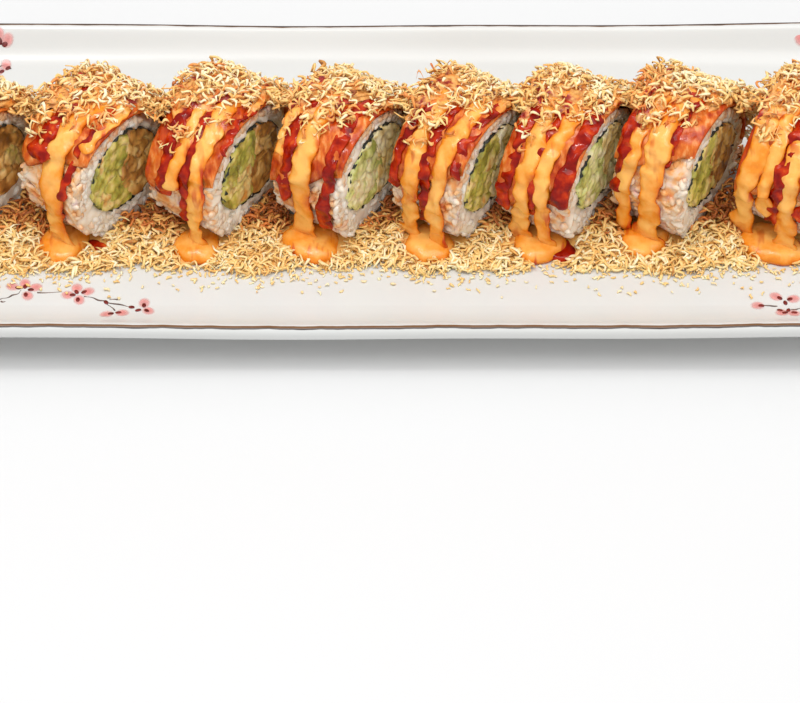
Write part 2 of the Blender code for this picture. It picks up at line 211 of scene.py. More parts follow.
def paint(red, green, blue):
    """A colour as it looks on a screen, 0 to 255, as linear light."""
    seen = np.array((red, green, blue)) / 255
    return tuple(np.where(seen <= 0.04045, seen / 12.92, ((seen + 0.055) / 1.055) ** 2.4))


class Socket:
    """A value that a material works out. Arithmetic on it adds Math nodes."""

    def __init__(self, look, output):
        self.look = look
        self.output = output

    def __add__(self, other):
        return self.look.math("ADD", self, other)

    __radd__ = __add__

    def __sub__(self, other):
        return self.look.math("SUBTRACT", self, other)

    def __rsub__(self, other):
        return self.look.math("SUBTRACT", other, self)

    def __mul__(self, other):
        return self.look.math("MULTIPLY", self, other)

    __rmul__ = __mul__


class Look:
    """A material on a Principled shader, whose other nodes come from one method."""

    def __init__(self, name, **constants):
        self.material = bpy.data.materials.new(name)
        self.material.use_nodes = True
        self.tree = self.material.node_tree
        self.shader = self.tree.nodes["Principled BSDF"]
        self.finish(**constants)

    def feed(self, socket, value):
        """Gives a socket a link or a constant."""
        if isinstance(value, Socket):
            self.tree.links.new(value.output, socket)
        elif socket.type == "RGBA":
            socket.default_value = (*value[:3], 1)
        else:
            socket.default_value = value

    def node(self, kind, settings=None, inputs=None, output=0):
        """A node of a type, with its settings first and then its sockets. stops fill a ramp."""
        made = self.tree.nodes.new("ShaderNode" + kind)
        for name, value in (settings or {}).items():
            if name == "stops":
                ramp = made.color_ramp.elements
                for n, (position, colour) in enumerate(value):
                    stop = ramp[n] if n < 2 else ramp.new(position)
                    stop.position = position
                    stop.color = (*colour, 1)
            else:
                setattr(made, name, value)
        for key, value in (inputs or {}).items():
            self.feed(made.inputs[key], value)
        return Socket(self, made.outputs[output])

    def math(self, operation, first, second):
        return self.node("Math", {"operation": operation}, {0: first, 1: second})

    def mark(self, name):
        """The value of a piece's own point attribute."""
        return self.node("Attribute", {"attribute_name": name}, output="Fac")

    def noise(self, size, detail=2.0, stretch=(1, 1, 1)):
        """Smooth noise with features of about this size, in the object's own coordinates."""
        place = self.node("TexCoord", output="Object")
        place = self.node("Mapping", None, {"Vector": place, "Scale": stretch})
        return self.node("TexNoise", None, {"Vector": place, "Scale": 1 / size, "Detail": detail})

    def ramp(self, value, *stops):
        """A colour between stops, each a position and a colour as seen on a screen."""
        stops = [(position, paint(*colour)) for position, *colour in stops]
        return self.node("ValToRGB", {"stops": stops}, {"Fac": value})

    def step(self, value, low, high):
        """0 below low and 1 above high, with an even rise between."""
        inputs = {"Value": value, "From Min": low, "From Max": high}
        return self.node("MapRange", {"clamp": True}, inputs)

    def mix(self, factor, first, second, blend="MIX"):
        """A colour between two colours."""
        settings = {"data_type": "RGBA", "blend_type": blend}
        return self.node("Mix", settings, {0: factor, 6: first, 7: second}, 2)

    def bump(self, height, depth, strength=1.0):
        """Small relief of this depth in the shading."""
        inputs = {"Height": height, "Distance": depth, "Strength": strength}
        self.finish(Normal=self.node("Bump", None, inputs))

    def finish(self, **sockets):
        """Feeds the shader's own sockets, whose names are written with _ for a space."""
        for socket, value in sockets.items():
            self.feed(self.shader.inputs[socket.replace("_", " ")], value)
        return self.material


def glaze_look():
    """Off-white glaze, and a line of gold and brown along the lip, partly painted light and shade.
    """
    look = Look("white_glaze", Roughness=0.3, Coat_Weight=0.1, Coat_Roughness=0.1)
    white, gold, brown = (218, 220, 219), (122, 78, 30), (50, 28, 10)
    line = look.mark("edge_mm") + (look.noise(12 * MM, 3.0, (1, 0, 0)) - 0.5) * 1.1
    share = look.step(line, -2.0, 3.0)
    # The line is gold on the crest and brown on its outer side, and browner at the back than in
    # front: partly its own colours, partly a painted highlight on the crest and painted shade below
    # it.
    front = look.ramp(
        share, (0.4, *white), (0.43, 104, 66, 26), (0.46, *gold), (0.54, 112, 70, 26),
        (0.57, *brown), (0.63, *brown), (0.66, *white),
    )
    back = look.ramp(
        share, (0.4, *white), (0.44, *gold), (0.5, *brown), (0.7, *brown), (0.74, *white),
    )
    behind = look.step(look.mark("side"), -0.2, 0.2)
    cloud = look.mix(look.noise(60 * MM), paint(255, 255, 255), paint(248, 245, 242))
    look.bump(look.noise(26 * MM, 1.0), 0.25 * MM, 0.35)
    return look.finish(Base_Color=look.mix(1.0, look.mix(behind, front, back), cloud, "MULTIPLY"))


def petal_look():
    """Soft pink enamel that fades out to its rim."""
    look = Look("pink_enamel", Roughness=0.25)
    fade = look.mark("fade")
    colour = look.ramp(
        fade, (0.0, 246, 200, 194), (0.5, 238, 168, 164), (1.0, 228, 138, 134),
    )
    wash = look.step(look.noise(1.6 * MM), 0.25, 0.75) * 0.5 + 0.5
    return look.finish(Base_Color=colour, Alpha=look.step(fade, 0.0, 0.6) * wash)


def brush_look(name, dark, pale):
    """Brushed enamel, uneven between two tones."""
    look = Look(name, Roughness=0.3)
    return look.finish(Base_Color=look.mix(look.step(look.noise(1.2 * MM), 0.35, 0.7), dark, pale))


def rice_look():
    """Moist rice: nearly white, painted shade in its hollows, tinged with sauce beside the sheet."""
    look = Look(
        "rice", Roughness=0.45, Subsurface_Weight=0.3, Subsurface_Scale=1.2 * MM,
        Subsurface_Radius=(1.0, 0.85, 0.7), Coat_Weight=0.06, Coat_Roughness=0.2,
    )
    tone = look.mark("tone") * 0.5 + look.noise(2.4 * MM) * 0.5
    clean = look.ramp(
        tone, (0.15, 228, 214, 190), (0.45, 242, 232, 214), (0.8, 249, 244, 234),
    )
    tinged = look.ramp(
        look.noise(3.5 * MM, 3.0),
        (0.3, 214, 112, 50), (0.45, 238, 168, 96), (0.6, 236, 204, 170), (0.7, 232, 190, 176),
    )
    stain = look.mark("stain") * look.step(look.noise(6 * MM, 3.0), 0.26, 0.48)
    look.bump(look.noise(0.9 * MM), 0.12 * MM, 0.5)
    return look.finish(Base_Color=look.mix(stain, clean, tinged))


def nori_look():
    """Damp seaweed, nearly black with green threads."""
    look = Look("nori", Roughness=0.42, Coat_Weight=0.2, Coat_Roughness=0.3)
    look.bump(look.noise(0.5 * MM), 0.1 * MM, 0.6)
    tone = look.mix(look.noise(1.5 * MM), paint(12, 15, 11), paint(48, 52, 38))
    return look.finish(Base_Color=tone)


def filling_look(name, crease, stops, swirl):
    """A moist cut filling: tones of its chunks swirled by noise, painted shade in the creases."""
    look = Look(
        name, Roughness=0.32, Subsurface_Weight=0.2, Subsurface_Scale=1.4 * MM,
        Subsurface_Radius=(1.0, 0.8, 0.4), Coat_Weight=0.3, Coat_Roughness=0.16,
    )
    swirled = (look.noise(3.2 * MM, 2.5, swirl) - 0.5) * 1.6
    tone = look.mark("tone") * 0.5 + look.mark("inward") * 0.2 + swirled + 0.12
    # Painted shade: the creases between chunks are darkened towards the crease colour
    crease_shade = look.mark("crease") * look.step(look.noise(4 * MM), 0.3, 0.6) * 0.6
    look.bump(look.noise(1.2 * MM, 3.0), 0.15 * MM, 0.4)
    return look.finish(Base_Color=look.mix(crease_shade, look.ramp(tone, *stops), paint(*crease)))


def crab_look():
    """Crab sheet soaked in sauce: orange red, with pale fibres and darker wet patches."""
    look = Look("crab", Subsurface_Weight=0.15, Subsurface_Scale=1.0 * MM, Specular_IOR_Level=0.3)
    fibre = look.noise(1.1 * MM, 3.0, (1, 0.4, 0.4))
    wet = look.step(look.noise(7 * MM), 0.44, 0.6)
    dry = look.ramp(
        fibre, (0.3, 196, 78, 14), (0.52, 220, 114, 36), (0.72, 238, 168, 104),
    )
    soaked = look.ramp(fibre, (0.3, 152, 34, 2), (0.7, 204, 78, 18))
    look.bump(fibre, 0.25 * MM, 0.5)
    return look.finish(Base_Color=look.mix(wet, dry, soaked), Roughness=0.36 - wet * 0.2)


def mayo_look():
    """Spicy mayonnaise: soft orange, deeper where it is thin."""
    look = Look(
        "spicy_mayo", Roughness=0.24, Subsurface_Weight=0.15, Subsurface_Scale=1.0 * MM,
        Subsurface_Radius=(1.0, 0.5, 0.2), Specular_IOR_Level=0.4,
    )
    tone = look.mark("tone") + (look.noise(4 * MM, 3.0) - 0.5) * 0.9
    colour = look.ramp(
        tone, (0.0, 190, 58, 4), (0.2, 222, 110, 12), (0.45, 240, 146, 36), (0.75, 252, 186, 94),
    )
    thin = look.step(look.mark("tone"), 0.9, 0.4)
    streak = look.step(look.noise(3 * MM, 2.0, (1, 0.3, 0.3)), 0.6, 0.68) * thin
    look.bump(look.noise(1.9 * MM, 3.0), 0.3 * MM, 0.5)
    return look.finish(Base_Color=look.mix(streak, colour, paint(196, 62, 12)))


def sauce_look():
    """Dark red glossy sauce."""
    look = Look("red_sauce", Roughness=0.1, Specular_IOR_Level=0.22)
    colour = look.ramp(
        look.noise(3.5 * MM, 3.0),
        (0.28, 98, 4, 0), (0.46, 144, 16, 0), (0.62, 190, 48, 6), (0.78, 222, 104, 34),
    )
    look.bump(look.noise(2.6 * MM), 0.2 * MM, 0.4)
    return look.finish(Base_Color=colour)


def strand_look(name, *stops):
    """Dry fried crunch, each strand of a tone of its own."""
    look = Look(name, Roughness=0.5, Subsurface_Weight=0.12, Subsurface_Scale=0.6 * MM)
    tone = look.mark("tone") * 0.8 + look.noise(1.0 * MM) * 0.4 - 0.1
    orange = look.ramp(
        tone, (0.02, 126, 58, 20), (0.28, 214, 106, 32), (0.6, 242, 156, 68), (0.9, 250, 198, 124),
    )
    look.bump(look.noise(0.35 * MM), 0.08 * MM, 0.5)
    return look.finish(Base_Color=look.mix(look.mark("soaked"), look.ramp(tone, *stops), orange))


def heap_look():
    """Crunch deep in a heap, darkened as painted shade, and soaked by the sauces that run over it.
    """
    look = Look("crunch_in_sauce_and_shade", Roughness=0.35, Coat_Weight=0.1)
    # Darker crumb tones are painted shade between the strands; the mayonnaise and red patches are
    # sauce.
    crumb = look.ramp(look.noise(1.3 * MM, 3.0), (0.3, 196, 122, 52), (0.6, 240, 176, 96))
    mayo = look.ramp(look.noise(1.6 * MM, 3.0), (0.3, 228, 118, 30), (0.65, 248, 172, 80))
    red = look.ramp(look.noise(1.6 * MM, 3.0), (0.3, 128, 14, 4), (0.7, 196, 48, 14))
    sauced = look.mix(look.step(look.noise(6 * MM), 0.47, 0.53), mayo, red)
    look.bump(look.noise(0.7 * MM, 3.0), 0.3 * MM, 0.7)
    patches = look.step(look.noise(4 * MM), 0.44, 0.54)
    return look.finish(Base_Color=look.mix(patches, crumb, sauced))


def grid_faces(rows, columns, ring=False):
    """Four-cornered faces between rows of points that are closed rings.

    With ring, the last row joins the first."""
    row = np.arange(rows if ring else rows - 1)[:, None]
    here = np.arange(columns)[None, :]
    after = (here + 1) % columns
    above = (row + 1) % rows * columns
    row = row * columns
    corners = (row + here, row + after, above + after, above + here)
    return np.stack(np.broadcast_arrays(*corners), -1).reshape(-1, 4)


def tubes(rows, tips=None):
    """Points and faces of closed tubes, from rows[tube, ring, side].

    Each end is a fan round a point of its own: its tip, or else the middle of its ring."""
    count, rings, sides = rows.shape[:3]
    if tips is None:
        tips = rows[:, (0, -1)].mean(2)
    points = np.concatenate([rows.reshape(count, rings * sides, 3), tips], 1)
    here = np.arange(sides)
    after = (here + 1) % sides
    last = (rings - 1) * sides
    start = np.stack([after, here, np.full(sides, rings * sides)], 1)
    end = np.stack([here + last, after + last, np.full(sides, rings * sides + 1)], 1)
    shift = (np.arange(count) * points.shape[1])[:, None, None]
    patterns = (grid_faces(rings, sides), np.concatenate([start, end]))
    return points, [(pattern + shift).reshape(-1, pattern.shape[1]) for pattern in patterns]


def tube_marks(values, rings, sides):
    """A value for every point of closed tubes, from values[tube, ring, side]."""
    full = np.broadcast_to(values, (len(values), rings, sides))
    ends = full[:, (0, -1)].mean(2)
    return np.concatenate([full.reshape(len(full), -1), ends], 1).ravel()


def volume(points, faces):
    """Signed volume of a closed skin: a sixth of the sum of its triangles' triple products."""
    total = 0.0
    for part in faces:
        for n in range(1, part.shape[1] - 1):
            a, b, c = points[part[:, 0]], points[part[:, n]], points[part[:, n + 1]]
            total += np.einsum("ij,ij->i", a, np.cross(b, c)).sum() / 6
    return total


def add_object(name, data):
    """A new object in the scene."""
    made = bpy.data.objects.new(name, data)
    bpy.context.scene.collection.objects.link(made)
    return made


def piece(name, points, faces, material, marks=None, stands_for=()):
    """A smooth mesh object from arrays, facing outwards, which rides on the part."""
    points = points.reshape(-1, 3)
    if volume(points, faces) < 0:
        faces = [part[:, ::-1] for part in faces]
    loops = np.concatenate([part.ravel() for part in faces]).astype(np.int32)
    sizes = np.concatenate([np.full(len(part), part.shape[1]) for part in faces])
    starts = np.concatenate([[0], np.cumsum(sizes)[:-1]]).astype(np.int32)
    mesh = bpy.data.meshes.new(name)
    mesh.vertices.add(len(points))
    mesh.vertices.foreach_set("co", points.astype(np.float32).ravel())
    mesh.loops.add(len(loops))
    mesh.loops.foreach_set("vertex_index", loops)
    mesh.polygons.add(len(sizes))
    mesh.polygons.foreach_set("loop_start", starts)
    mesh.update(calc_edges=True)
    mesh.shade_smooth()
    for mark, values in (marks or {}).items():
        layer = mesh.attributes.new(mark, "FLOAT", "POINT")
        layer.data.foreach_set("value", np.asarray(values, np.float32).ravel())
    mesh.materials.append(material)
    made = add_object(name, mesh)
    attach(made, "root")
    if stands_for:
        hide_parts(*stands_for)


def tube_piece(name, rows, material, marks=None, stands_for=(), tips=None):
    """A piece of closed tubes from rows[tube, ring, side], with its marks given the same way."""
    points, faces = tubes(rows, tips)
    marks = {mark: tube_marks(values, *rows.shape[1:3]) for mark, values in (marks or {}).items()}
    piece(name, points, faces, material, marks, stands_for)


def waves(points, size, seed, count=20):
    """Smooth relief of unit strength: sine waves in random directions, near one size."""
    rng = np.random.default_rng(seed)
    ways = rng.normal(size=(count, 3))
    ways *= (TAU / size * rng.uniform(0.6, 1.5, count) / np.linalg.norm(ways, axis=1))[:, None]
    return np.sin(points @ ways.T + rng.uniform(0, TAU, count)).sum(-1) * math.sqrt(2 / count)


def shake(points, size, depth, seed):
    """Points moved smoothly in all three directions, each by its own waves."""
    return points + depth * np.stack([waves(points, size, seed + n) for n in range(3)], -1)


def lumps(flat, seed):
    """Lumps in a plane, one in each unit cell of a jittered grid.

    Gives each point's distance to its nearest centre, how much nearer that is than the next
    centre, and a random number of that lump."""
    cell = np.floor(flat)
    nearest = np.full(flat.shape[:-1], 9.0)
    second = nearest.copy()
    number = np.zeros_like(nearest)
    keys = np.random.default_rng(seed).uniform(60, 90, 3)
    for shift in np.ndindex(3, 3):
        corner = cell + np.array(shift) - 1
        mixed = np.sin(corner @ np.array((12.9898, 78.233)) + keys[0]) * 43758.5453
        jitter = np.stack([mixed % 1.0, (mixed * 1.618 + keys[1]) % 1.0], -1)
        away = np.linalg.norm(flat - corner - 0.1 - 0.8 * jitter, axis=-1)
        closer = away < nearest
        second = np.where(closer, nearest, np.minimum(second, away))
        number = np.where(closer, (mixed * 2.414 + keys[2]) % 1.0, number)
        nearest = np.where(closer, away, nearest)
    return nearest, second - nearest, number


def ease(value, low, high):
    """0 at low and 1 at high, with a smooth rise between."""
    share = np.clip((value - low) / (high - low), 0, 1)
    return share * share * (3 - 2 * share)


def bulge(wave, power):
    """A sine or cosine pushed towards a square wave, for rounded rectangles."""
    return np.sign(wave) * np.abs(wave) ** power


def unit(vectors):
    return vectors / np.linalg.norm(vectors, axis=-1, keepdims=True)


def read(items, name, width):
    """A named value of every vertex or face of a mesh, one row each."""
    values = np.empty(len(items) * width, np.float32)
    items.foreach_get(name, values)
    return values.reshape(-1, width).astype(float)


class Edge:
    """A closed edge in a slice's cut face, as a smoothed table of radii about its middle."""

    def __init__(self, corners, middle=None, soften=9):
        self.middle = corners.mean(0) if middle is None else np.array(middle)
        w, h = (corners - self.middle).T
        angle = np.arctan2(w, h)
        order = np.argsort(angle)
        radius = np.interp(TABLE, angle[order], np.hypot(w, h)[order], period=TAU)
        window = np.hanning(soften + 2)[1:-1]
        wrapped = np.concatenate([radius[-soften:], radius, radius[:soften]])
        self.radius = np.convolve(wrapped, window / window.sum(), "same")[soften:-soften]

    def at(self, angle, out=0.0, share=1.0):
        """(across, height) at an angle from the top to the back, a share of the way out."""
        radius = (np.interp(angle, TABLE, self.radius, period=TAU) + out) * share
        return self.middle[0] + radius * np.sin(angle), self.middle[1] + radius * np.cos(angle)


class Slice:
    """Place, axes and edges of one slice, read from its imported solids."""

    def __init__(self, number, sheet_end, pool_half, mayo, sauce):
        self.number = number
        self.sheet_end = sheet_end
        self.pool_half = pool_half * MM
        self.mayo = mayo
        self.sauce = sauce
        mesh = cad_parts[f"rice_{number}"].data
        normals, areas = read(mesh.polygons, "normal", 3), read(mesh.polygons, "area", 1)
        cut = (normals[:, 0] > 0.7) & (np.abs(normals[:, 2]) < 0.01)
        self.along = unit((normals * areas)[cut].sum(0))
        self.across = np.array((-self.along[1], self.along[0], 0.0))
        points = read(mesh.vertices, "co", 3)
        u, w = points @ self.along, points @ self.across
        self.half = np.ptp(u) / 2
        middle = (u.max() + u.min()) / 2 * self.along + (w.max() + w.min()) / 2 * self.across
        self.centre = middle + FLOOR * UP
        rice = self.face(f"rice_{number}")
        outside = np.hypot(rice[:, 0], rice[:, 1] - AXIS_HEIGHT) > EDGE_SPLIT
        self.rice = Edge(rice[outside], (0, AXIS_HEIGHT))
        self.hole = Edge(rice[~outside])
        self.avocado = Edge(self.face(f"avocado_{number}"), soften=15)
        self.shrimp = Edge(self.face(f"shrimp_{number}"), soften=15)
        feet = [place for place, _, end in mayo if end == POOL]
        self.pool_place = POOL_SHIFT * sum(feet) / len(feet) * self.half + POOL_ALONG

    def sheet_front(self, u):
        """Where the crab sheet ends in front, in degrees: higher towards the cut face."""
        return self.sheet_end + SHEET_SKEW * ease(u / self.half, -0.6, 1.0)

    def heap_front(self, u):
        """Where the heap begins in front, in degrees: further back towards the cut face."""
        return HEAP_FROM + HEAP_SKEW * ease(u / self.half, -0.6, 1.0)

    def face(self, node):
        """(across, height) of a node's corners on the slice's cut face."""
        points = read(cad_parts[node].data.vertices, "co", 3) - self.centre
        u = points @ self.along
        near = points[u > u.max() - 0.1 * MM]
        return np.unique(np.round(np.stack([near @ self.across, near[:, 2]], 1), 6), axis=0)

    def place(self, u, w, h):
        """Points for distances along the axis, across it and above the floor."""
        u, w, h = np.broadcast_arrays(u, w, h)
        flat = self.centre + u[..., None] * self.along + w[..., None] * self.across
        return flat + h[..., None] * UP

    def outward(self, angle):
        """The way out from the axis at an angle, and the way round towards the back."""
        sine, cosine = np.sin(angle)[..., None], np.cos(angle)[..., None]
        return self.across * sine + UP * cosine, self.across * cosine - UP * sine

    def from_axis(self, points):
        """The way out from the axis at each point."""
        rest = points - self.centre - AXIS_HEIGHT * UP
        return unit(rest - (rest @ self.along)[..., None] * self.along)

    def local(self, points):
        """Distances along the axis, across it and above the floor."""
        rest = points - self.centre
        return rest @ self.along, rest @ self.across, rest[..., 2]


def plate_ring(inset, height, lift, corner_steps=26, side_steps=90, end_steps=36):
    """One closed line round the plate: a rounded rectangle set in from its edge.

    Its height follows the hand-made lip, which rises with the square of x, by the share lift."""
    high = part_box("plate")[1]
    radius = max(PLATE_CORNER - inset, PLATE_CORNER * 0.25)
    half = np.array((high.x, high.y)) - inset - radius
    corners = []
    for n, sign in enumerate(((1, 1), (-1, 1), (-1, -1), (1, -1))):
        turn = np.radians(n * 90 + np.linspace(0, 90, corner_steps))
        corners.append(half * sign + radius * np.stack([np.cos(turn), np.sin(turn)], 1))
    parts = []
    for n, corner in enumerate(corners):
        share = np.linspace(0, 1, end_steps if n % 2 else side_steps)[1:-1, None]
        parts += [corner, corner[-1] * (1 - share) + corners[(n + 1) % 4][0] * share]
    flat = np.concatenate(parts)
    run = flat[:, 0] / high.x
    rise = LIP_RISE * run**2 + 0.25 * MM * np.sin(flat[:, 0] / (17 * MM)) * (1 - run**2)
    return np.column_stack([flat, height + lift * rise])


# The plate's section: inset from its edge and height, and then the share of the lip's rise
PLATE_PROFILE = (
    (23.0, 4.5, 0), (22.0, 4.1, 0), (21.8, 0.2, 0), (21.3, 0, 0), (17.7, 0, 0), (17.1, 0.3, 0),
    (16.2, 2.5, 0), (14.6, 4.2, 0.05), (6, 8, 0.4), (0.9, 12.4, 1), (0.1, 14.2, 1), (0.0, 15.2, 1),
    (0.25, 16.2, 1), (0.9, 16.9, 1), (1.8, 17, 1), (2.6, 16.7, 1), (3.6, 15.9, 1), (8, 12.1, 0.6),
    (11.5, 10.6, 0.2), (15, 10.05, 0), (17, 10, 0), (19, 10, 0),
)
PLATE_PROFILE = np.array(PLATE_PROFILE) * (MM, MM, 1)
CREST = 14          # the stop at the top of the lip
PROFILE_FINE = 4    # steps between two stops


def smooth_line(stops, fine):
    """More stops along a line: a Catmull-Rom curve through those given."""
    padded = np.concatenate([[2 * stops[0] - stops[1]], stops, [2 * stops[-1] - stops[-2]]])
    t = np.linspace(0, 1, fine, endpoint=False)[:, None]
    parts = []
    for a, b, c, d in zip(padded, padded[1:], padded[2:], padded[3:]):
        curve = 2 * b + (c - a) * t + (2 * a - 5 * b + 4 * c - d) * t**2
        parts.append((curve + (3 * b - a - 3 * c + d) * t**3) / 2)
    return np.concatenate(parts + [stops[-1:]])


def make_plate(glaze):
    """The plate: its section carried round a rounded rectangle, closed below and at the floor."""
    profile = smooth_line(PLATE_PROFILE, PROFILE_FINE)
    rows = np.stack([plate_ring(*stop) for stop in profile])
    length = np.concatenate([[0], np.cumsum(np.hypot(*np.diff(profile[:, :2], axis=0).T))])
    outside = (length[CREST * PROFILE_FINE] - length) / MM
    marks = {"edge_mm": outside[None, :, None], "side": rows[None, ..., 1] / rows[..., 1].max()}
    tube_piece("plate_glazed", rows[None], glaze, marks, ["plate"])


def plate_top(x, y):
    """Height of the plate's upper side at a place, read from its section."""
    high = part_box("plate")[1]
    inset = np.minimum(high.x - np.abs(x), high.y - np.abs(y))
    upper = PLATE_PROFILE[CREST:]
    lift = np.interp(inset, upper[:, 0], upper[:, 2])
    return np.interp(inset, upper[:, 0], upper[:, 1]) + lift * LIP_RISE * (x / high.x) ** 2


# The blossom that the photograph shows, in mm on the plate: a flower's middle, petals and marks
BLOSSOM = (
    ((-97.4, -41.3), ((-97.6, -38.9), (-100.9, -40.1), (-94.4, -40.4), (-96.4, -43.6)),
     ((-97.4, -40.1), (-99.3, -40.6), (-95.7, -41.3), (-96.9, -43.2))),
    ((-82.4, -43.3), ((-82.9, -40.7), (-85.3, -43.3), (-79.7, -42.0), (-81.9, -45.2)),
     ((-82.9, -42.2), (-80.8, -42.2), (-83.9, -43.3), (-82.3, -45.1))),
    ((-71.4, -50.5), ((-73.9, -51.2), (-69.5, -50.6)),
     ((-72.7, -50.9), (-70.6, -50.4), (-74.4, -46.1))),
    ((-63.7, -48.6), ((-63.8, -46.4), (-62.5, -49.6)),
     ((-63.8, -47.3), (-62.9, -49.5), (-65.3, -49.3), (-67.2, -48.0))),
    ((113.6, -45.6), ((111.3, -43.9), (116.1, -44.8)),
     ((112.3, -44.5), (115.1, -44.9), (113.7, -46.3))),
    ((113.9, -50.2), ((112.3, -50.5), (115.5, -50.8)),
     ((111.9, -49.4), (114.2, -49.4), (113.1, -50.5), (115.7, -50.5))),
    ((-113.4, 56.4), ((-114.1, 58.9), (-111.6, 57.6)), ((-113.8, 57.3), (-112.4, 56.6))),
    ((-112.0, 49.4), ((-111.9, 51.1), (-114.4, 48.6)), ((-111.2, 50.1), (-113.0, 48.8))),
    ((129.6, 56.4), ((127.8, 57.8), (131.6, 57.4), (130.4, 54.2)), ((128.8, 56.9), (130.7, 56.7))),
)

# The blossom further out: a flower's middle, its first petal's turn in degrees, and how many
# of its five petals show. Then single buds, and twigs as lines through their points.
MORE_BLOSSOM = (
    (-118.5, -44.0, 20, 5), (-131.5, -47.2, 100, 4), (129.0, -46.2, 40, 5), (141.5, -48.6, 80, 4),
    (-128.5, 47.2, 30, 5), (-141.0, 42.0, 110, 4), (134.5, 46.5, 150, 4), (145.5, 41.0, 60, 4),
)
BUDS = (
    (-109.5, -49.5), (-140.0, -43.5), (105.9, -47.4), (122.0, -50.0), (148.5, -42.5),
    (-135.5, 50.0), (141.5, 49.0),
)
TWIGS = (
    ((-138, -44.6), (-126, -48.6), (-112, -48.4), (-103.9, -45.1), (-101.9, -44.1), (-99.7, -43.2),
     (-98.2, -41.4)),
    ((-103.8, -45.8), (-102.2, -45.8)), ((-94.0, -42.3), (-87.0, -42.3)),
    ((-80.7, -43.6), (-78.1, -44.6), (-75.2, -45.5), (-73.8, -46.1), (-69.6, -47.3),
     (-67.0, -48.0)),
    ((-74.2, -46.4), (-71.7, -49.6)), ((-73.4, -45.2), (-71.1, -44.9)),
    ((107.7, -47.5), (111.6, -47.4)),
    ((114.9, -49.2), (117.5, -48.5), (123.0, -48.6), (131.0, -48.9), (139.0, -48.4)),
    ((131.5, -48.6), (139.5, -44.4), (147.6, -42.6)),
    ((-110.3, 50.1), (-113.4, 50.9), (-118.0, 47.6)),
    ((-118.0, 47.6), (-127.0, 45.4), (-139.5, 41.8)), ((-129.0, 46.6), (-134.8, 49.4)),
    ((130.0, 54.0), (131.5, 49.5), (137.5, 43.6), (144.0, 40.6)), ((137.6, 43.8), (141.2, 48.2)),
)

# Length and width of a petal and of a mark on it, and the enamel's thickness
PETAL = (4.3 * MM, 3.6 * MM)
DOT = (1.8 * MM, 1.2 * MM)
ENAMEL = 0.09 * MM


def enamel_discs(places, length, width, lift=0.0, rings=6, sides=16):
    """Low oval domes of enamel on the plate, from rows of x, y and turn.

    A dome falls off with the square of the share of its radius, and its rim is sunk in the
    glaze. Also gives the enamel's fading, from the middle to the rim."""
    x0, y0, turn = np.array(places).T[:, :, None, None]
    share = np.concatenate([np.linspace(0.12, 1, rings), [0.97]])
    rise = np.concatenate([ENAMEL * (1 - 0.75 * share[:rings] ** 2), [-ENAMEL]]) + lift
    angle = np.linspace(0, TAU, sides, endpoint=False)
    a = share[:, None] * np.cos(angle) * length / 2
    b = share[:, None] * np.sin(angle) * width / 2
    x = x0 + a * np.cos(turn) - b * np.sin(turn)
    y = y0 + a * np.sin(turn) + b * np.cos(turn)
    fade = np.repeat(1 - share[None, :, None] ** 1.5, len(places), 0)
    return np.stack([x, y, plate_top(x, y) + rise[:, None]], -1), fade


def twig_rows(line, seed, rings=26, sides=6, half_width=0.26 * MM):
    """A thin painted line through some points: a flat oval section carried along them."""
    share = np.linspace(0, len(line) - 1, rings)
    flat = np.stack([np.interp(share, np.arange(len(line)), line[:, k]) for k in (0, 1)], 1)
    flat += 0.18 * MM * np.stack([np.sin(share * 5 + seed), np.cos(share * 4 + seed)], 1)
    way = unit(np.gradient(flat, axis=0))
    side = np.stack([-way[:, 1], way[:, 0]], 1)
    angle = np.linspace(0, TAU, sides, endpoint=False)
    half = half_width * (0.75 + 0.35 * np.sin(share * 3.1 + seed))
    half = half * np.minimum(1, 0.35 + np.arange(rings)[::-1] / 4)
    spot = flat[:, None] + side[:, None] * (np.cos(angle)[:, None] * half[:, None, None])
    height = plate_top(spot[..., 0], spot[..., 1]) + ENAMEL * np.sin(angle)
    return np.concatenate([spot, height[..., None]], -1)


def make_sprigs(petal, dark, twig):
    """The painted blossom near the plate's corners, as thin raised enamel."""
    petals, dots = [], []
    for middle, *spots in BLOSSOM:
        for places, made in zip(spots, (petals, dots)):
            made += [(x * MM, y * MM, math.atan2(y - middle[1], x - middle[0])) for x, y in places]
    for x, y, start, count in MORE_BLOSSOM:
        for turn in np.radians(start + 72 * np.arange(count)):
            for reach, made in ((2.4, petals), (1.4, dots)):
                spot = ((x + reach * math.cos(turn)) * MM, (y + reach * math.sin(turn)) * MM)
                made.append((*spot, turn))
    for x, y in BUDS:
        petals.append((x * MM, y * MM, 0.0))
        dots.append(((x + 1) * MM, y * MM, 0.0))
    rows, fade = enamel_discs(petals, *PETAL)
    tube_piece("blossom_petals", rows, petal, {"fade": fade})
    rows, _ = enamel_discs(dots, *DOT, lift=0.06 * MM, rings=3, sides=10)
    tube_piece("blossom_marks", rows, dark)
    rows = np.stack([twig_rows(np.array(line) * MM, n) for n, line in enumerate(TWIGS)])
    tube_piece("blossom_twigs", rows, twig)


def between(cut, angle, share, inset=0.0):
    """(across, height) part of the way from the rice's hole to its outside."""
    w0, h0 = cut.hole.at(angle, -0.2 * MM)
    w1, h1 = cut.rice.at(angle, -inset)
    return w0 + (w1 - w0) * share, h0 + (h1 - h0) * share


def stain_at(cut, angle, u):
    """How far sauce has tinged the rice: most in front next to the sheet, none on the cut face."""
    degrees = (np.degrees(angle) + 180) % 360 - 180
    near = ease(degrees, -150, -100) * (1 - ease(degrees, 100, 140))
    return near * (1 - ease(np.abs(u), cut.half - 1.6 * MM, cut.half - 0.3 * MM))


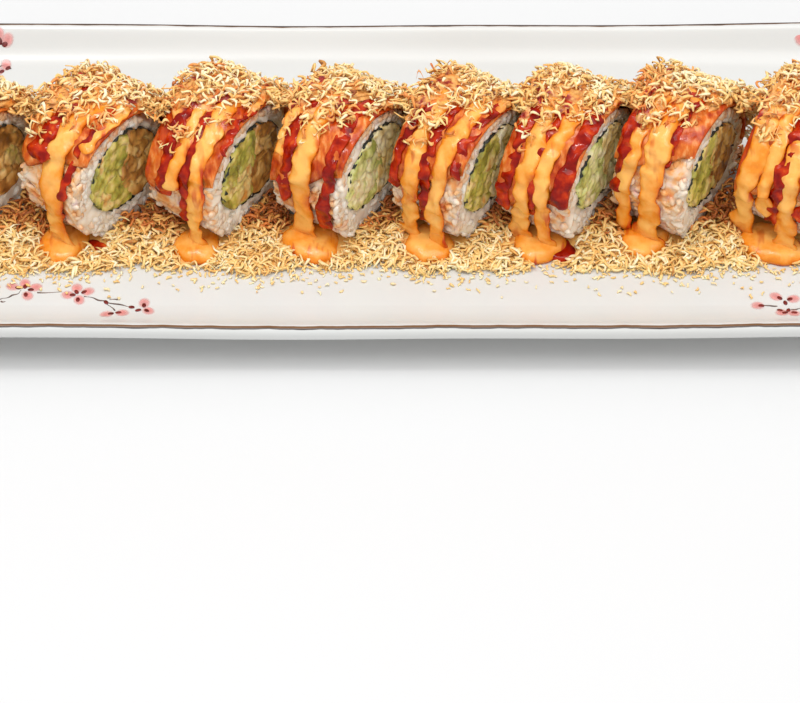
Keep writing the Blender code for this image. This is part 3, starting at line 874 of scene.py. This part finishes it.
def make_rice_core(cut, rice, sink=0.55 * MM, corner=2.2 * MM):
    """The rice under its grains: a ring with a rounded square section and lumpy skin.

    The section's line runs round a corner from the back face, along the outside, round a
    corner to the cut face, and home through the hole."""
    half = cut.half - sink
    turn = np.linspace(0, math.pi / 2, 7)
    side = half - corner + corner * np.sin(turn[::-1])
    inset = sink + corner * (1 - np.cos(turn[::-1]))
    home = (half, half, half, half / 2, -half / 2, -half, -half, -half)
    along = [-side, (-half / 3, half / 3), side[::-1], home]
    insets = [inset, (sink, sink), inset[::-1], np.full(8, sink + corner)]
    shares = [np.ones(16), (0.75, 0.4, 0.0, 0.0, 0.0, 0.0, 0.4, 0.75)]
    along, insets, shares = (np.concatenate(part)[:, None] for part in (along, insets, shares))
    w, h = between(cut, TABLE[None, ::2], shares, insets)
    points = shake(cut.place(along, w, h), 4 * MM, 0.34 * MM, SEED_RICE + cut.number)
    # The body under the grains gets a lower tone than the grains' mean: painted shade in the
    # hollows.
    marks = {"tone": np.full(w.shape, 0.4), "stain": stain_at(cut, TABLE[::2], along)}
    faces = [grid_faces(*w.shape, ring=True)]
    piece(f"rice_body_{cut.number}", points, faces, rice, marks, [f"rice_{cut.number}"])


def three_ways(ways, ups):
    """Unit axes of many small shapes: along each, to its side, and up from it."""
    ways = unit(ways)
    side_ways = unit(np.cross(ways, ups))
    return np.stack([ways, side_ways, np.cross(side_ways, ways)])


def set_out(middles, shapes, axes):
    """Points of small shapes, each carried to its middle and turned to its own axes."""
    turned = np.einsum("ktij,ktc->tijc", np.stack(np.broadcast_arrays(*shapes)), axes)
    return middles[:, None, None] + turned


def grains(middles, ways, ups, lengths, widths, rings=4, sides=6):
    """Rice grains: ellipses turned about a slightly bent axis, flattened a little."""
    axes = three_ways(ways, ups)
    t = np.cos(np.linspace(math.pi * 0.84, math.pi * 0.16, rings))[None, :, None]
    angle = np.linspace(0, TAU, sides, endpoint=False)
    lengths, widths = lengths[:, None, None], widths[:, None, None]
    radius = np.sqrt(1 - t**2) * widths / 2
    bend = 0.12 * (lengths / 2) ** 2 / widths
    y = radius * np.cos(angle) + bend * t**2
    rows = set_out(middles, (t * lengths / 2, y, radius * np.sin(angle) * 0.86), axes)
    reach, bend = axes[0] * lengths[:, 0] / 2, axes[1] * bend[:, 0]
    return rows, np.stack([middles - reach + bend, middles + reach + bend], 1)


def make_grains(cuts, rice):
    """Grains half sunk in the rice, over its two faces and the sides that the sheet leaves bare."""
    parts = []
    for cut in cuts:
        rng = np.random.default_rng(SEED_GRAINS + cut.number)
        middles, ways, ups, stain = [], [], [], []
        for sign in (1, -1):
            angle = rng.uniform(0, TAU, GRAINS_ON_FACE)
            share = np.sqrt(rng.uniform(0.03, 0.86, GRAINS_ON_FACE))
            w, h = between(cut, angle, share, 0.7 * MM)
            keep = h > 1.2 * MM
            out, round_way = cut.outward(angle)
            turn = rng.uniform(-0.5, 0.5, GRAINS_ON_FACE) * math.pi
            turn = (turn * (0.15 + 0.85 * ease(share, 0.25, 0.5)))[:, None]
            tilt = 0.2 * rng.normal(size=(GRAINS_ON_FACE, 1)) * cut.along
            middles.append(cut.place(sign * (cut.half - 0.95 * MM), w, h)[keep])
            ways.append((round_way * np.cos(turn) + out * np.sin(turn) + tilt)[keep])
            ups.append(np.broadcast_to(sign * cut.along, out.shape)[keep])
            stain.append((0.85 * stain_at(cut, angle, 0) * ease(share, 0.3, 0.7))[keep])
        in_front = (GRAINS_FROM, cut.sheet_end + SHEET_SKEW, GRAINS_IN_FRONT)
        for low, high, count in (in_front, (SHEET_BACK - 8, GRAINS_TO, GRAINS_BEHIND)):
            angle = np.radians(rng.uniform(low, high, count))
            u = rng.uniform(-0.95, 0.95, count) * cut.half
            out, round_way = cut.outward(angle)
            turn = rng.uniform(0, TAU, count)[:, None]
            middles.append(cut.place(u, *cut.rice.at(angle, -0.75 * MM)))
            lean = out * 0.2 * rng.normal(size=(count, 1))
            ways.append(cut.along * np.cos(turn) + round_way * np.sin(turn) + lean)
            ups.append(out)
            stain.append(stain_at(cut, angle, u))
        middles, ways, ups, stain = (np.concatenate(part) for part in (middles, ways, ups, stain))
        lengths = GRAIN_LENGTH * rng.uniform(0.75, 1.1, len(middles))
        widths = GRAIN_WIDTH * rng.uniform(0.8, 1.1, len(middles))
        tones = rng.uniform(0, 1, len(middles))
        parts.append((*grains(middles, ways, ups, lengths, widths), tones, stain))
    rows, tips, tones, stains = (np.concatenate(part) for part in zip(*parts))
    marks = {"tone": tones[:, None, None], "stain": stains[:, None, None]}
    tube_piece("rice_grains", rows, rice, marks, tips=tips)


def nori_rows(cut, start, end, drop, steps, closed):
    """A band of nori between two angles, which winds inwards by drop.

    Its section is a flat rounded rectangle, a little proud of the cut faces, whose place and
    edge wander by waves."""
    angle = np.linspace(start, end, steps, endpoint=not closed)[:, None]
    corner = np.linspace(0, TAU, 10, endpoint=False)
    out = -0.32 * MM - drop * ease(angle, start, end) + 0.15 * MM * bulge(np.sin(corner), 0.6)
    w, h = cut.hole.at(angle, out)
    points = cut.place((cut.half + 0.1 * MM) * bulge(np.cos(corner), 0.25), w, h)
    ripple = 0.16 * MM * waves(points, 3 * MM, SEED_NORI + cut.number)
    edge = bulge(np.cos(corner), 4) * 0.3 * MM * waves(points, 2 * MM, SEED_NORI_EDGE + cut.number)
    return points + cut.from_axis(points) * ripple[..., None] + edge[..., None] * cut.along


def make_nori(cut, nori):
    """The nori: a thin band round the filling, with its loose end folded in below."""
    band = nori_rows(cut, 0, TAU, 0, 180, True)
    faces = [grid_faces(*band.shape[:2], ring=True)]
    piece(f"nori_band_{cut.number}", band, faces, nori, stands_for=[f"nori_{cut.number}"])
    end = nori_rows(cut, math.radians(196), math.radians(238), 2.6 * MM, 30, False)
    tube_piece(f"nori_end_{cut.number}", end[None], nori)


def make_filling(cut, name, material, chunk, proud, sides=84, rings=22):
    """One filling, cut through: a bar whose ends are lumpy.

    Each end is a disc of rings out to the filling's edge. It bulges by a dome on each chunk,
    falls in the creases between chunks, and rounds off towards the edge."""
    edge = getattr(cut, name)
    angle = np.linspace(0, TAU, sides, endpoint=False)
    share = np.linspace(0.02, 1, rings)[:, None]
    w, h = edge.at(angle, 1.2 * MM, share)
    middle = cut.place(0, w, h)
    ends = []
    for sign in (-1, 1):
        seed = SEED_FILLING + cut.number * 4 + sign
        shift = np.stack([waves(middle, 7 * MM, seed + n) for n in (0, 90)], -1)
        nearest, apart, tone = lumps((np.stack([w, h], -1) + 1.1 * MM * shift) / chunk, seed)
        crease = 1 - ease(apart, 0.0, 0.2)
        swell = proud * (1.1 - nearest**2) - 0.35 * MM * crease - 0.4 * MM * ease(share, 0.92, 1.0)
        swell = swell + 0.12 * MM * waves(middle, 2.6 * MM, seed + 50)
        points = cut.place(sign * (cut.half - 0.2 * MM + swell), w, h)
        inward = np.broadcast_to(1 - share, w.shape)
        ends.append([values[::-sign] for values in (points, tone, crease, inward)])
    rows, *marks = (np.concatenate(part)[None] for part in zip(*ends))
    marks = dict(zip(("tone", "crease", "inward"), marks))
    number = cut.number
    tube_piece(f"{name}_cut_{number}", rows, material, marks, [f"{name}_{number}"])


def draped(cut, front, end, base, thick, proud, ragged, seed, steps=70, sides=40):
    """A layer over a slice from its front, which follows the place along, to an angle at the back.

    Its section is a rounded rectangle along the axis, on the rice's outside. It thins out at
    both ends, its front end is ragged, and its top wanders by waves. thick gives its depth at
    an angle in degrees and a place along."""
    turn = np.linspace(0, TAU, sides, endpoint=False)
    u = (cut.half + proud) * bulge(np.cos(turn), 0.3)
    lift = 0.5 + 0.5 * bulge(np.sin(turn), 0.6)
    share = np.linspace(0, 1, steps)[:, None]
    start = front(u)
    wander = ragged * waves(cut.place(u, 0, 0), 6 * MM, seed)
    degrees = start + wander * (1 - share) + (end - start) * share
    taper = np.sqrt(np.clip(1 - np.abs(2 * share - 1) ** 14, 0.06, 1))
    w, h = cut.rice.at(np.radians(degrees), base + thick(degrees, u) * taper * lift)
    points = cut.place(u, w, h)
    relief = waves(points, 4.5 * MM, seed + 1) * 0.22 * MM
    relief += waves(points, 1.6 * MM, seed + 2) * 0.07 * MM
    return points + cut.from_axis(points) * (relief * lift)[..., None]


def heap_at(cut, degrees, u):
    """Thickness of the heap: a low arch from front to back, thicker behind at both ends."""
    front = cut.heap_front(u)
    rise = np.clip((degrees - front) / (HEAP_TO - front), 0, 1)
    ends = np.where(u < 0, 0.15, 0.75) * ease(np.abs(u / cut.half), 0.1, 0.9)
    return HEAP * np.sin(math.pi * rise) ** 0.6 * (1 + ends * ease(degrees, 10, 50))


def make_sheets(cut, crab, heap):
    """The crab sheet over a slice, and the close body of its heap of crunch."""
    number = cut.number
    sheet = draped(
        cut, cut.sheet_front, SHEET_BACK, GAP,
        lambda degrees, u: SHEET, 0.15 * MM, 3, SEED_SHEET + number,
    )
    stands_for = [f"topping_{number}"]
    tube_piece(f"crab_sheet_{number}", sheet[None], crab, stands_for=stands_for)
    body = draped(
        cut, lambda u: cut.heap_front(u) + 16, HEAP_TO - 2, SHEET - 0.2 * MM,
        lambda degrees, u: heap_at(cut, degrees, u) * 0.75 + 0.2 * MM, 0.3 * MM, 8,
        SEED_HEAP + number,
    )
    body = shake(body, 2.4 * MM, 0.3 * MM, SEED_HEAP_SHAKE + number)
    tube_piece(f"crunch_heap_{number}", body[None], heap)


def run_path(cut, place, end, rings):
    """The line of a run down a slice, as across, height, length so far and the way out.

    It follows the outside of the sheet, drops onto the bare rice past its end, and where it
    reaches the pool it leaves the rice for the plate."""
    degrees = np.linspace(RUN_START, RUN_LEAVES if end == POOL else max(end, RUN_LOWEST), 60)
    front = cut.sheet_front(place * cut.half)
    on_sheet = ease(degrees, front - 3, front + 6)
    w, h = cut.rice.at(np.radians(degrees), GAP + 0.1 * MM + (SHEET - 0.1 * MM) * on_sheet)
    if end == POOL:
        w = np.concatenate([w, w[-1] + np.array((0.1, 0.3, 0.8, 1.4)) * MM])
        h = np.concatenate([h, np.array((9.5, 6.5, 4.0, 1.6)) * MM])
    gone = np.concatenate([[0], np.cumsum(np.hypot(np.diff(w), np.diff(h)))])
    s = np.linspace(0, gone[-1], rings)
    window = np.hanning(9)[1:-1] / np.hanning(9).sum()
    w, h = (np.convolve(np.pad(np.interp(s, gone, v), 3, "edge"), window, "valid") for v in (w, h))
    out = unit(np.stack([np.gradient(h), -np.gradient(w)], 1))
    out *= np.sign((out * np.stack([w, h - AXIS_HEIGHT], 1)).sum(1))[:, None]
    return w, h, s, out


def run_rows(cut, place, width, end, rise, seed, rings=72, sides=16):
    """One run of sauce down a slice: a rounded bead, sunk a little in what it lies on.

    The bead swells and narrows by waves, widens into the pool, and a run that ends on the
    slice ends in a round drop."""
    phase = np.random.default_rng(seed).uniform(0, TAU, 5)
    w, h, s, out = run_path(cut, place, end, rings)
    mm = s / MM
    sway = (0.6 * np.sin(mm / 9 + phase[0]) + 0.3 * np.sin(mm / 3.1 + phase[1])) * MM
    swell = 1 + 0.12 * np.sin(mm / 4.3 + phase[2]) + 0.07 * np.sin(mm / 1.9 + phase[3])
    half = width * MM / 2 * swell
    tall = width * MM * rise * (1 + 0.12 * np.sin(mm / 3.7 + phase[4]))
    left = s[-1] - s
    if end == POOL:
        half = half * (1.55 - 0.55 * ease(left, 0, 4.5 * MM))
    else:
        close = np.sqrt(1 - np.clip(1 - left / half, 0, 0.995) ** 2)
        half = half * (1.22 - 0.22 * ease(left, 2 * MM, 7 * MM)) * close
        tall = tall * (1.45 - 0.45 * ease(left, 1 * MM, 6 * MM)) * close
    opening = ease(s, -1 * MM, 3 * MM)
    turn = np.linspace(0, TAU, sides, endpoint=False)
    u = place * cut.half + sway[:, None] + (half * opening)[:, None] * np.cos(turn)
    height = np.where(np.sin(turn) > 0, tall[:, None], 0.5 * MM) * bulge(np.sin(turn), 0.85)
    height = height * opening[:, None]
    rows = cut.place(u, w[:, None] + out[:, :1] * height, h[:, None] + out[:, 1:] * height)
    rows = shake(rows, 4.5 * MM, 0.3 * MM, seed)
    tone = np.clip(0.2 + 0.5 * np.sin(turn), 0, 1) + 0.12 * np.sin(mm / 5 + phase[0])[:, None]
    return rows, tone


def pool_rows(cut, place, across, half_width, half_depth, height, seed, rings=72):
    """A puddle on the plate, as a fan of sections from its middle to its uneven rim.

    A section is half of a flat oval: its height is the cube root of 1 less the cube of the
    share of the radius, and its underside lies just off the plate."""
    phase = np.random.default_rng(seed).uniform(0, TAU, 3)
    angle = np.linspace(0, TAU, rings, endpoint=False)
    uneven = 1 + 0.07 * np.sin(3 * angle + phase[0]) + 0.05 * np.sin(2 * angle + phase[1])
    uneven = uneven + 0.025 * np.sin(7 * angle + phase[2])
    above = np.linspace(0.985, 0.1, 12) ** 0.7
    share = np.concatenate([np.linspace(0.1, 0.96, 7), (1.0,), above])
    rise = np.concatenate([np.zeros(7), (0.22,), (1 - above**3) ** (1 / 3)])
    u = place + half_width * share[:, None] * uneven * np.cos(angle)
    w = across + half_depth * share[:, None] * uneven * np.sin(angle)
    h = 0.1 * MM + (height - 0.1 * MM) * rise[:, None] + 0 * angle
    h = h + 0.12 * MM * waves(cut.place(u, w, 0), 6 * MM, seed) * (rise[:, None] > 0.5)
    tone = 0.25 + 0.4 * rise[:, None] + 0 * angle
    return cut.place(u, w, h), tone


def make_sauces(cuts, mayo, sauce):
    """All the mayonnaise and all the red sauce: runs on the slices, and pools and drips below."""
    for name, material, rise in (("spicy_mayo", mayo, MAYO_RISE), ("red_sauce", sauce, SAUCE_RISE)):
        runs, pools = [], []
        for cut in cuts:
            lines = cut.mayo if material is mayo else cut.sauce
            seed = cut.number * 40 + (0 if material is mayo else 20)
            runs += [run_rows(cut, *line, rise, seed + n) for n, line in enumerate(lines)]
            if material is mayo:
                shape = (cut.pool_place, POOL_ACROSS, cut.pool_half, POOL_HALF_DEPTH, POOL_HEIGHT)
                pools.append(pool_rows(cut, *shape, seed + 9))
        if material is sauce:
            for number, along, across, half in DRIPS:
                shape = (along * MM, across * MM, half * MM, half * DRIP_DEPTH * MM, DRIP_HEIGHT)
                pools.append(pool_rows(cuts[number - 1], *shape, SEED_DRIPS + number))
        for part, made in (("runs", runs), ("pools", pools)):
            rows, tones = (np.stack(values) for values in zip(*made))
            tube_piece(f"{name}_{part}", rows, material, {"tone": tones})


def strands(middles, ways, ups, lengths, widths, bends, sways, rings=5, sides=4):
    """Curled strands of crunch: a flat diamond section on an arc, narrower at its ends.

    The arc is a parabola towards up, with a sideways parabola or S on top of it."""
    t = np.linspace(-1, 1, rings)[None, :, None]
    turn = np.linspace(0, TAU, sides, endpoint=False) + TAU / 8
    lengths, widths, bends, sways = (v[:, None, None] for v in (lengths, widths, bends, sways))
    thin = widths / 2 * (1 - 0.45 * t**4)
    curl = 1 - t**2
    x = t * lengths / 2 * (1 - 0.25 * np.abs(bends + sways) / lengths) + 0 * turn
    y = sways * np.where(sways > 0, curl, t * curl * 2.2) + thin * np.cos(turn)
    z = bends * curl + thin * np.sin(turn) * 0.72
    return set_out(middles, (x, y, z), three_ways(ways, ups))


def strand_set(rng, middles, ups, kind):
    """Strands at some places, each with its own turn about the way up, length, width and curl."""
    shortest, longest, thinnest, widest, curl = kind
    count = len(middles)
    lean = rng.normal(size=(count, 3))
    flat = np.cross(lean, ups)
    ways = unit(flat) + ups * rng.normal(0, 0.28, (count, 1))
    lengths = rng.uniform(shortest, longest, count) * MM
    widths = rng.uniform(thinnest, widest, count) * MM
    bends = rng.uniform(-0.3, 1.5, count) * curl * MM
    sways = rng.uniform(-1.5, 1.7, count) * curl * MM
    return strands(middles, ways, ups, lengths, widths, bends, sways)


def make_strands(name, parts, look):
    """A mesh of many strands, from sets of them.

    A set is its strands' rows, each strand's tone, and how far sauce has soaked it."""
    rows, tones, soaked = (np.concatenate(part) for part in zip(*parts))
    marks = {"tone": np.clip(tones, 0, 1)[:, None, None], "soaked": soaked[:, None, None]}
    tube_piece(name, rows, look, marks)


def soaked_share(rng, degrees):
    """How far each strand on a slice is soaked: many in front, few on top."""
    soaked = rng.uniform(size=len(degrees)) < 0.42 - 0.3 * ease(degrees, -30, 30)
    return soaked * rng.uniform(0.5, 1, len(degrees))


def make_crunch_on_slices(cuts, look):
    """Strands heaped on the slices' tops, which leave patches of sauce bare in front."""
    parts = []
    for cut in cuts:
        rng = np.random.default_rng(SEED_ON_SLICE + cut.number)
        u = rng.uniform(-1, 1, STRANDS_ON_SLICE) * (cut.half - 0.7 * MM)
        front = cut.heap_front(u) - 7
        degrees = front + (HEAP_TO + 8 - front) * rng.beta(1.45, 1.0, STRANDS_ON_SLICE)
        u = u * (1 + np.where(u < 0, 0.26, 0.18) * ease(degrees, 18, 50))
        angle = np.radians(degrees)
        depth = rng.uniform(0.35, 1.0, STRANDS_ON_SLICE)
        out = GAP + SHEET + 0.3 * MM + heap_at(cut, degrees, u) * depth
        middles = cut.place(u, *cut.rice.at(angle, out))
        patches = waves(middles, 9 * MM, SEED_BARE_PATCHES + cut.number)
        kept = patches < 0.6 + 2.4 * ease(degrees, 0, 50)
        rows = strand_set(rng, middles, cut.outward(angle)[0], ON_SLICE)
        # Paler towards the top of the heap: painted light on its upper side
        tones = rng.normal(0.5, 0.24, STRANDS_ON_SLICE) + 0.26 * ease(degrees, -40, 30)
        parts.append([values[kept] for values in (rows, tones, soaked_share(rng, degrees))])
    make_strands("crunch_on_slices", parts, look)


def make_crunch_between_slices(cuts, look):
    """Strands that sag over the gaps: from behind each cut face, and all over the other end."""
    parts = []
    sides = [(cut, 1, GAP_FROM, GAP_WIDTH, 0) for cut in cuts[:-1]]
    sides += [(cut, -1, OVERHANG_FROM, OVERHANG, 1.2 * MM) for cut in cuts]
    for cut, sign, start, reach, lower in sides:
        rng = np.random.default_rng(SEED_IN_GAP + cut.number * sign)
        degrees = rng.uniform(start, GAP_TO, STRANDS_IN_GAP)
        angle = np.radians(degrees)
        share = rng.uniform(0, 1, STRANDS_IN_GAP)
        sag = 1.4 * MM * np.sin(math.pi * share) + rng.uniform(-1, 2.4, STRANDS_IN_GAP) * MM
        out = GAP + SHEET + HEAP - sag - lower
        middles = cut.place(sign * (cut.half + share * reach), *cut.rice.at(angle, out))
        rows = strand_set(rng, middles, cut.outward(angle)[0], ON_SLICE)
        # A lower tone than on the tops: painted shade where the strands sag between slices
        tones = rng.normal(0.4, 0.2, STRANDS_IN_GAP)
        parts.append((rows, tones, soaked_share(rng, degrees)))
    make_strands("crunch_between_slices", parts, look)


def clear_of(cuts, points, margin, room=1.0):
    """Which places on the plate are clear of the slices' feet by margin, and of the pools
    and drips grown by room."""
    clear = np.ones(len(points), bool)
    for cut in cuts:
        u, w, _ = cut.local(points)
        clear &= ~((np.abs(u) < cut.half + margin) & (np.abs(w) < FOOT_HALF_DEPTH + margin))
        pool = ((u - cut.pool_place) / cut.pool_half) ** 2
        pool += ((w - POOL_ACROSS) / POOL_HALF_DEPTH) ** 2
        clear &= pool > 1.08 * room
        for number, along, across, half in DRIPS:
            if number == cut.number:
                drip = ((u / MM - along) / half) ** 2
                drip += ((w / MM - across) / half / DRIP_DEPTH) ** 2
                clear &= drip > room
    return clear


def bed_limits(x, side):
    """The outer edge of the bed at x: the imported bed's own, wavering, and drawn in at its ends."""
    low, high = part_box("crunch_front" if side < 0 else "crunch_back")
    outer = low.y if side < 0 else high.y
    near_end = np.minimum(x - low.x, high.x - x)
    waver = 1.2 * np.sin(x / (9 * MM) + side) + 0.9 * np.sin(x / (3.7 * MM) + 2 * side)
    return side * outer - 3.8 * MM + waver * MM - 5 * MM * (1 - ease(near_end, 0, 12 * MM))


def make_bed(cuts, side, name, count, look, core_look):
    """The bed of crunch on one side of the row: strands over a low close body.

    The body's section runs from just under the row out to the bed's edge, as a low arch."""
    node = "crunch_front" if side < 0 else "crunch_back"
    low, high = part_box(node)
    rng = np.random.default_rng(SEED_BED + side)
    x = rng.uniform(low.x - 2 * MM, high.x + 2 * MM, count * 4)
    y = side * rng.uniform(2 * MM, BED_REACH, count * 4)
    edge = bed_limits(x, side)
    inside = side * y < edge
    spots = np.stack([x, y, np.full_like(x, FLOOR)], 1)[inside]
    edge = edge[inside]
    keep = clear_of(cuts, spots, 0.4 * MM)
    spots, edge = spots[keep][:count], edge[keep][:count]
    out = side * spots[:, 1]
    rise = BED_HEIGHT * (1 - ease(out, edge - 5 * MM, edge + 1.5 * MM))
    rise = rise * rng.uniform(0.2, 1.0, len(spots))
    pile = PILE * (1 - ease(out, ROW_EDGE, 26 * MM)) * clear_of(cuts, spots, 0, 1.7)
    spots[:, 2] += 0.5 * MM + rise + pile * rng.uniform(0.1, 1.0, len(spots))
    rows = strand_set(rng, spots, np.broadcast_to(UP, spots.shape), IN_BED)
    # Near the row the strands are soaked in sauce, and their lower tone is painted shade at the
    # slices' feet
    near = 1 - ease(out, ROW_EDGE, 23 * MM)
    near *= ease(np.minimum(spots[:, 0] - low.x, high.x - spots[:, 0]), 10 * MM, 22 * MM)
    soaked = (rng.uniform(size=len(rows)) < 0.7 * near) * 0.8
    tones = rng.normal(0.6, 0.22, len(rows)) - 0.6 * near
    make_strands(f"crunch_strands_{name}", [(rows, tones, soaked)], look)

    x = np.linspace(low.x + 1 * MM, high.x - 1 * MM, 240)[:, None]
    turn = np.linspace(0, TAU, 24, endpoint=False)
    inner = 12 * MM
    edge = bed_limits(x, side) - 1.5 * MM
    y = side * ((inner + edge) / 2 + (edge - inner) / 2 * bulge(np.cos(turn), 0.7))
    taper = ease(np.minimum(x - low.x, high.x - x), 0, 8 * MM)
    arch = BED_HEIGHT * 0.6 * np.clip(bulge(np.sin(turn), 0.7), 0, 1) * (0.1 + 0.9 * taper)
    body = np.stack(np.broadcast_arrays(x, y, FLOOR + 0.15 * MM + arch), -1)
    body[..., 2] += 0.3 * MM * waves(body, 3 * MM, SEED_BED_BODY + side) * (np.sin(turn) > 0.1)
    tube_piece(f"crunch_bed_{name}", body[None], core_look, stands_for=[node])


def make_crumbs(cuts, look):
    """Small loose crumbs outside the beds, thinner further out."""
    rng = np.random.default_rng(SEED_CRUMBS)
    x = rng.uniform(-CRUMBS_REACH, CRUMBS_REACH, CRUMBS) * MM
    side = np.where(rng.uniform(size=CRUMBS) < CRUMBS_IN_FRONT, -1, 1)
    edge = np.where(side < 0, bed_limits(x, -1), bed_limits(x, 1))
    y = side * (edge - 2 * MM + rng.exponential(CRUMBS_SPREAD, CRUMBS))
    spots = np.stack([x, y, np.full(CRUMBS, FLOOR + 0.35 * MM)], 1)
    spots = spots[clear_of(cuts, spots, 0.4 * MM) & (np.abs(y) < BED_REACH)]
    rows = strand_set(rng, spots, np.broadcast_to(UP, spots.shape), CRUMB)
    parts = [(rows, rng.uniform(0.4, 1, len(rows)), np.zeros(len(rows)))]
    make_strands("crunch_crumbs", parts, look)


def area_light(name, place, size, power):
    """A soft square light that shines from a place at the middle of the plate."""
    data = bpy.data.lights.new(name, "AREA")
    data.size = size
    data.energy = power
    light = add_object(name, data)
    x, y, z = np.array(LIGHTS_AIM) - np.array(place)
    light.location = place
    light.rotation_euler = (math.atan2(math.hypot(x, y), -z), 0, math.atan2(x, -y) + math.pi)


def make_floor():
    """A plain white floor, far wider than the view."""
    mesh = bpy.data.meshes.new("floor")
    corners = [(x * FLOOR_HALF, y * FLOOR_HALF, 0) for x, y in ((-1, -1), (1, -1), (1, 1), (-1, 1))]
    mesh.from_pydata(corners, [], [(0, 1, 2, 3)])
    look = Look("white_floor", Roughness=0.9, Specular_IOR_Level=0.0)
    tones = [(tone, tone, tone) for tone in FLOOR_TONES]
    mesh.materials.append(look.finish(Base_Color=look.mix(look.noise(0.5), *tones)))
    add_object("floor", mesh)


def make_stage():
    """White surroundings, a wide soft light overhead, and a small one for the glints."""
    make_floor()
    world = bpy.data.worlds.new("studio")
    world.use_nodes = True
    background = world.node_tree.nodes["Background"]
    background.inputs["Color"].default_value = (1, 1, 1, 1)
    background.inputs["Strength"].default_value = SURROUNDINGS
    bpy.context.scene.world = world
    for name, light in LIGHTS.items():
        area_light(name, *light)
    bpy.context.scene.view_settings.view_transform = "Standard"


def make_camera():
    """The camera of the photograph, which looks down at the plate from in front."""
    data = bpy.data.cameras.new("camera")
    data.sensor_width = SENSOR
    data.lens = FOCAL_PIXELS * SENSOR / IMAGE_WIDTH
    data.clip_start = 0.01
    camera = add_object("camera", data)
    back = np.array((0, -math.cos(CAMERA_ELEVATION), math.sin(CAMERA_ELEVATION)))
    camera.location = AIM + back * CAMERA_DISTANCE
    below = math.atan((IMAGE_HEIGHT / 2 - AIM_ROW) / FOCAL_PIXELS)
    camera.rotation_euler = (math.pi / 2 - CAMERA_ELEVATION - below, 0, 0)
    bpy.context.scene.camera = camera


def main():
    cuts = [Slice(n + 1, *row) for n, row in enumerate(DRESSING)]
    rice, nori, crab = rice_look(), nori_look(), crab_look()
    fillings = {name: filling_look(name, *row) for name, row in FILLINGS.items()}
    crunch = strand_look(
        "crunch",
        (0.02, 186, 116, 50), (0.28, 241, 184, 100), (0.6, 252, 216, 144), (0.9, 255, 242, 204),
    )
    core = strand_look("crunch_core", (0.1, 232, 178, 96), (0.6, 247, 206, 130))
    heap = heap_look()
    make_plate(glaze_look())
    dark = brush_look("dark_enamel", paint(92, 18, 18), paint(134, 38, 34))
    twig = brush_look("twig_enamel", paint(78, 58, 52), paint(124, 100, 90))
    make_sprigs(petal_look(), dark, twig)
    for cut in cuts:
        make_rice_core(cut, rice)
        make_nori(cut, nori)
        for name, (chunk, proud, pale) in CUT_FILLINGS.items():
            look = fillings["pale_" + name if cut.number in pale else name]
            make_filling(cut, name, look, chunk, proud)
        make_sheets(cut, crab, heap)
    make_grains(cuts, rice)
    make_sauces(cuts, mayo_look(), sauce_look())
    make_crunch_on_slices(cuts, crunch)
    make_crunch_between_slices(cuts, crunch)
    make_bed(cuts, -1, "front", STRANDS_IN_BED, crunch, core)
    make_bed(cuts, 1, "back", STRANDS_IN_BED // 3, crunch, core)
    make_crumbs(cuts, crunch)
    make_stage()
    make_camera()


main()
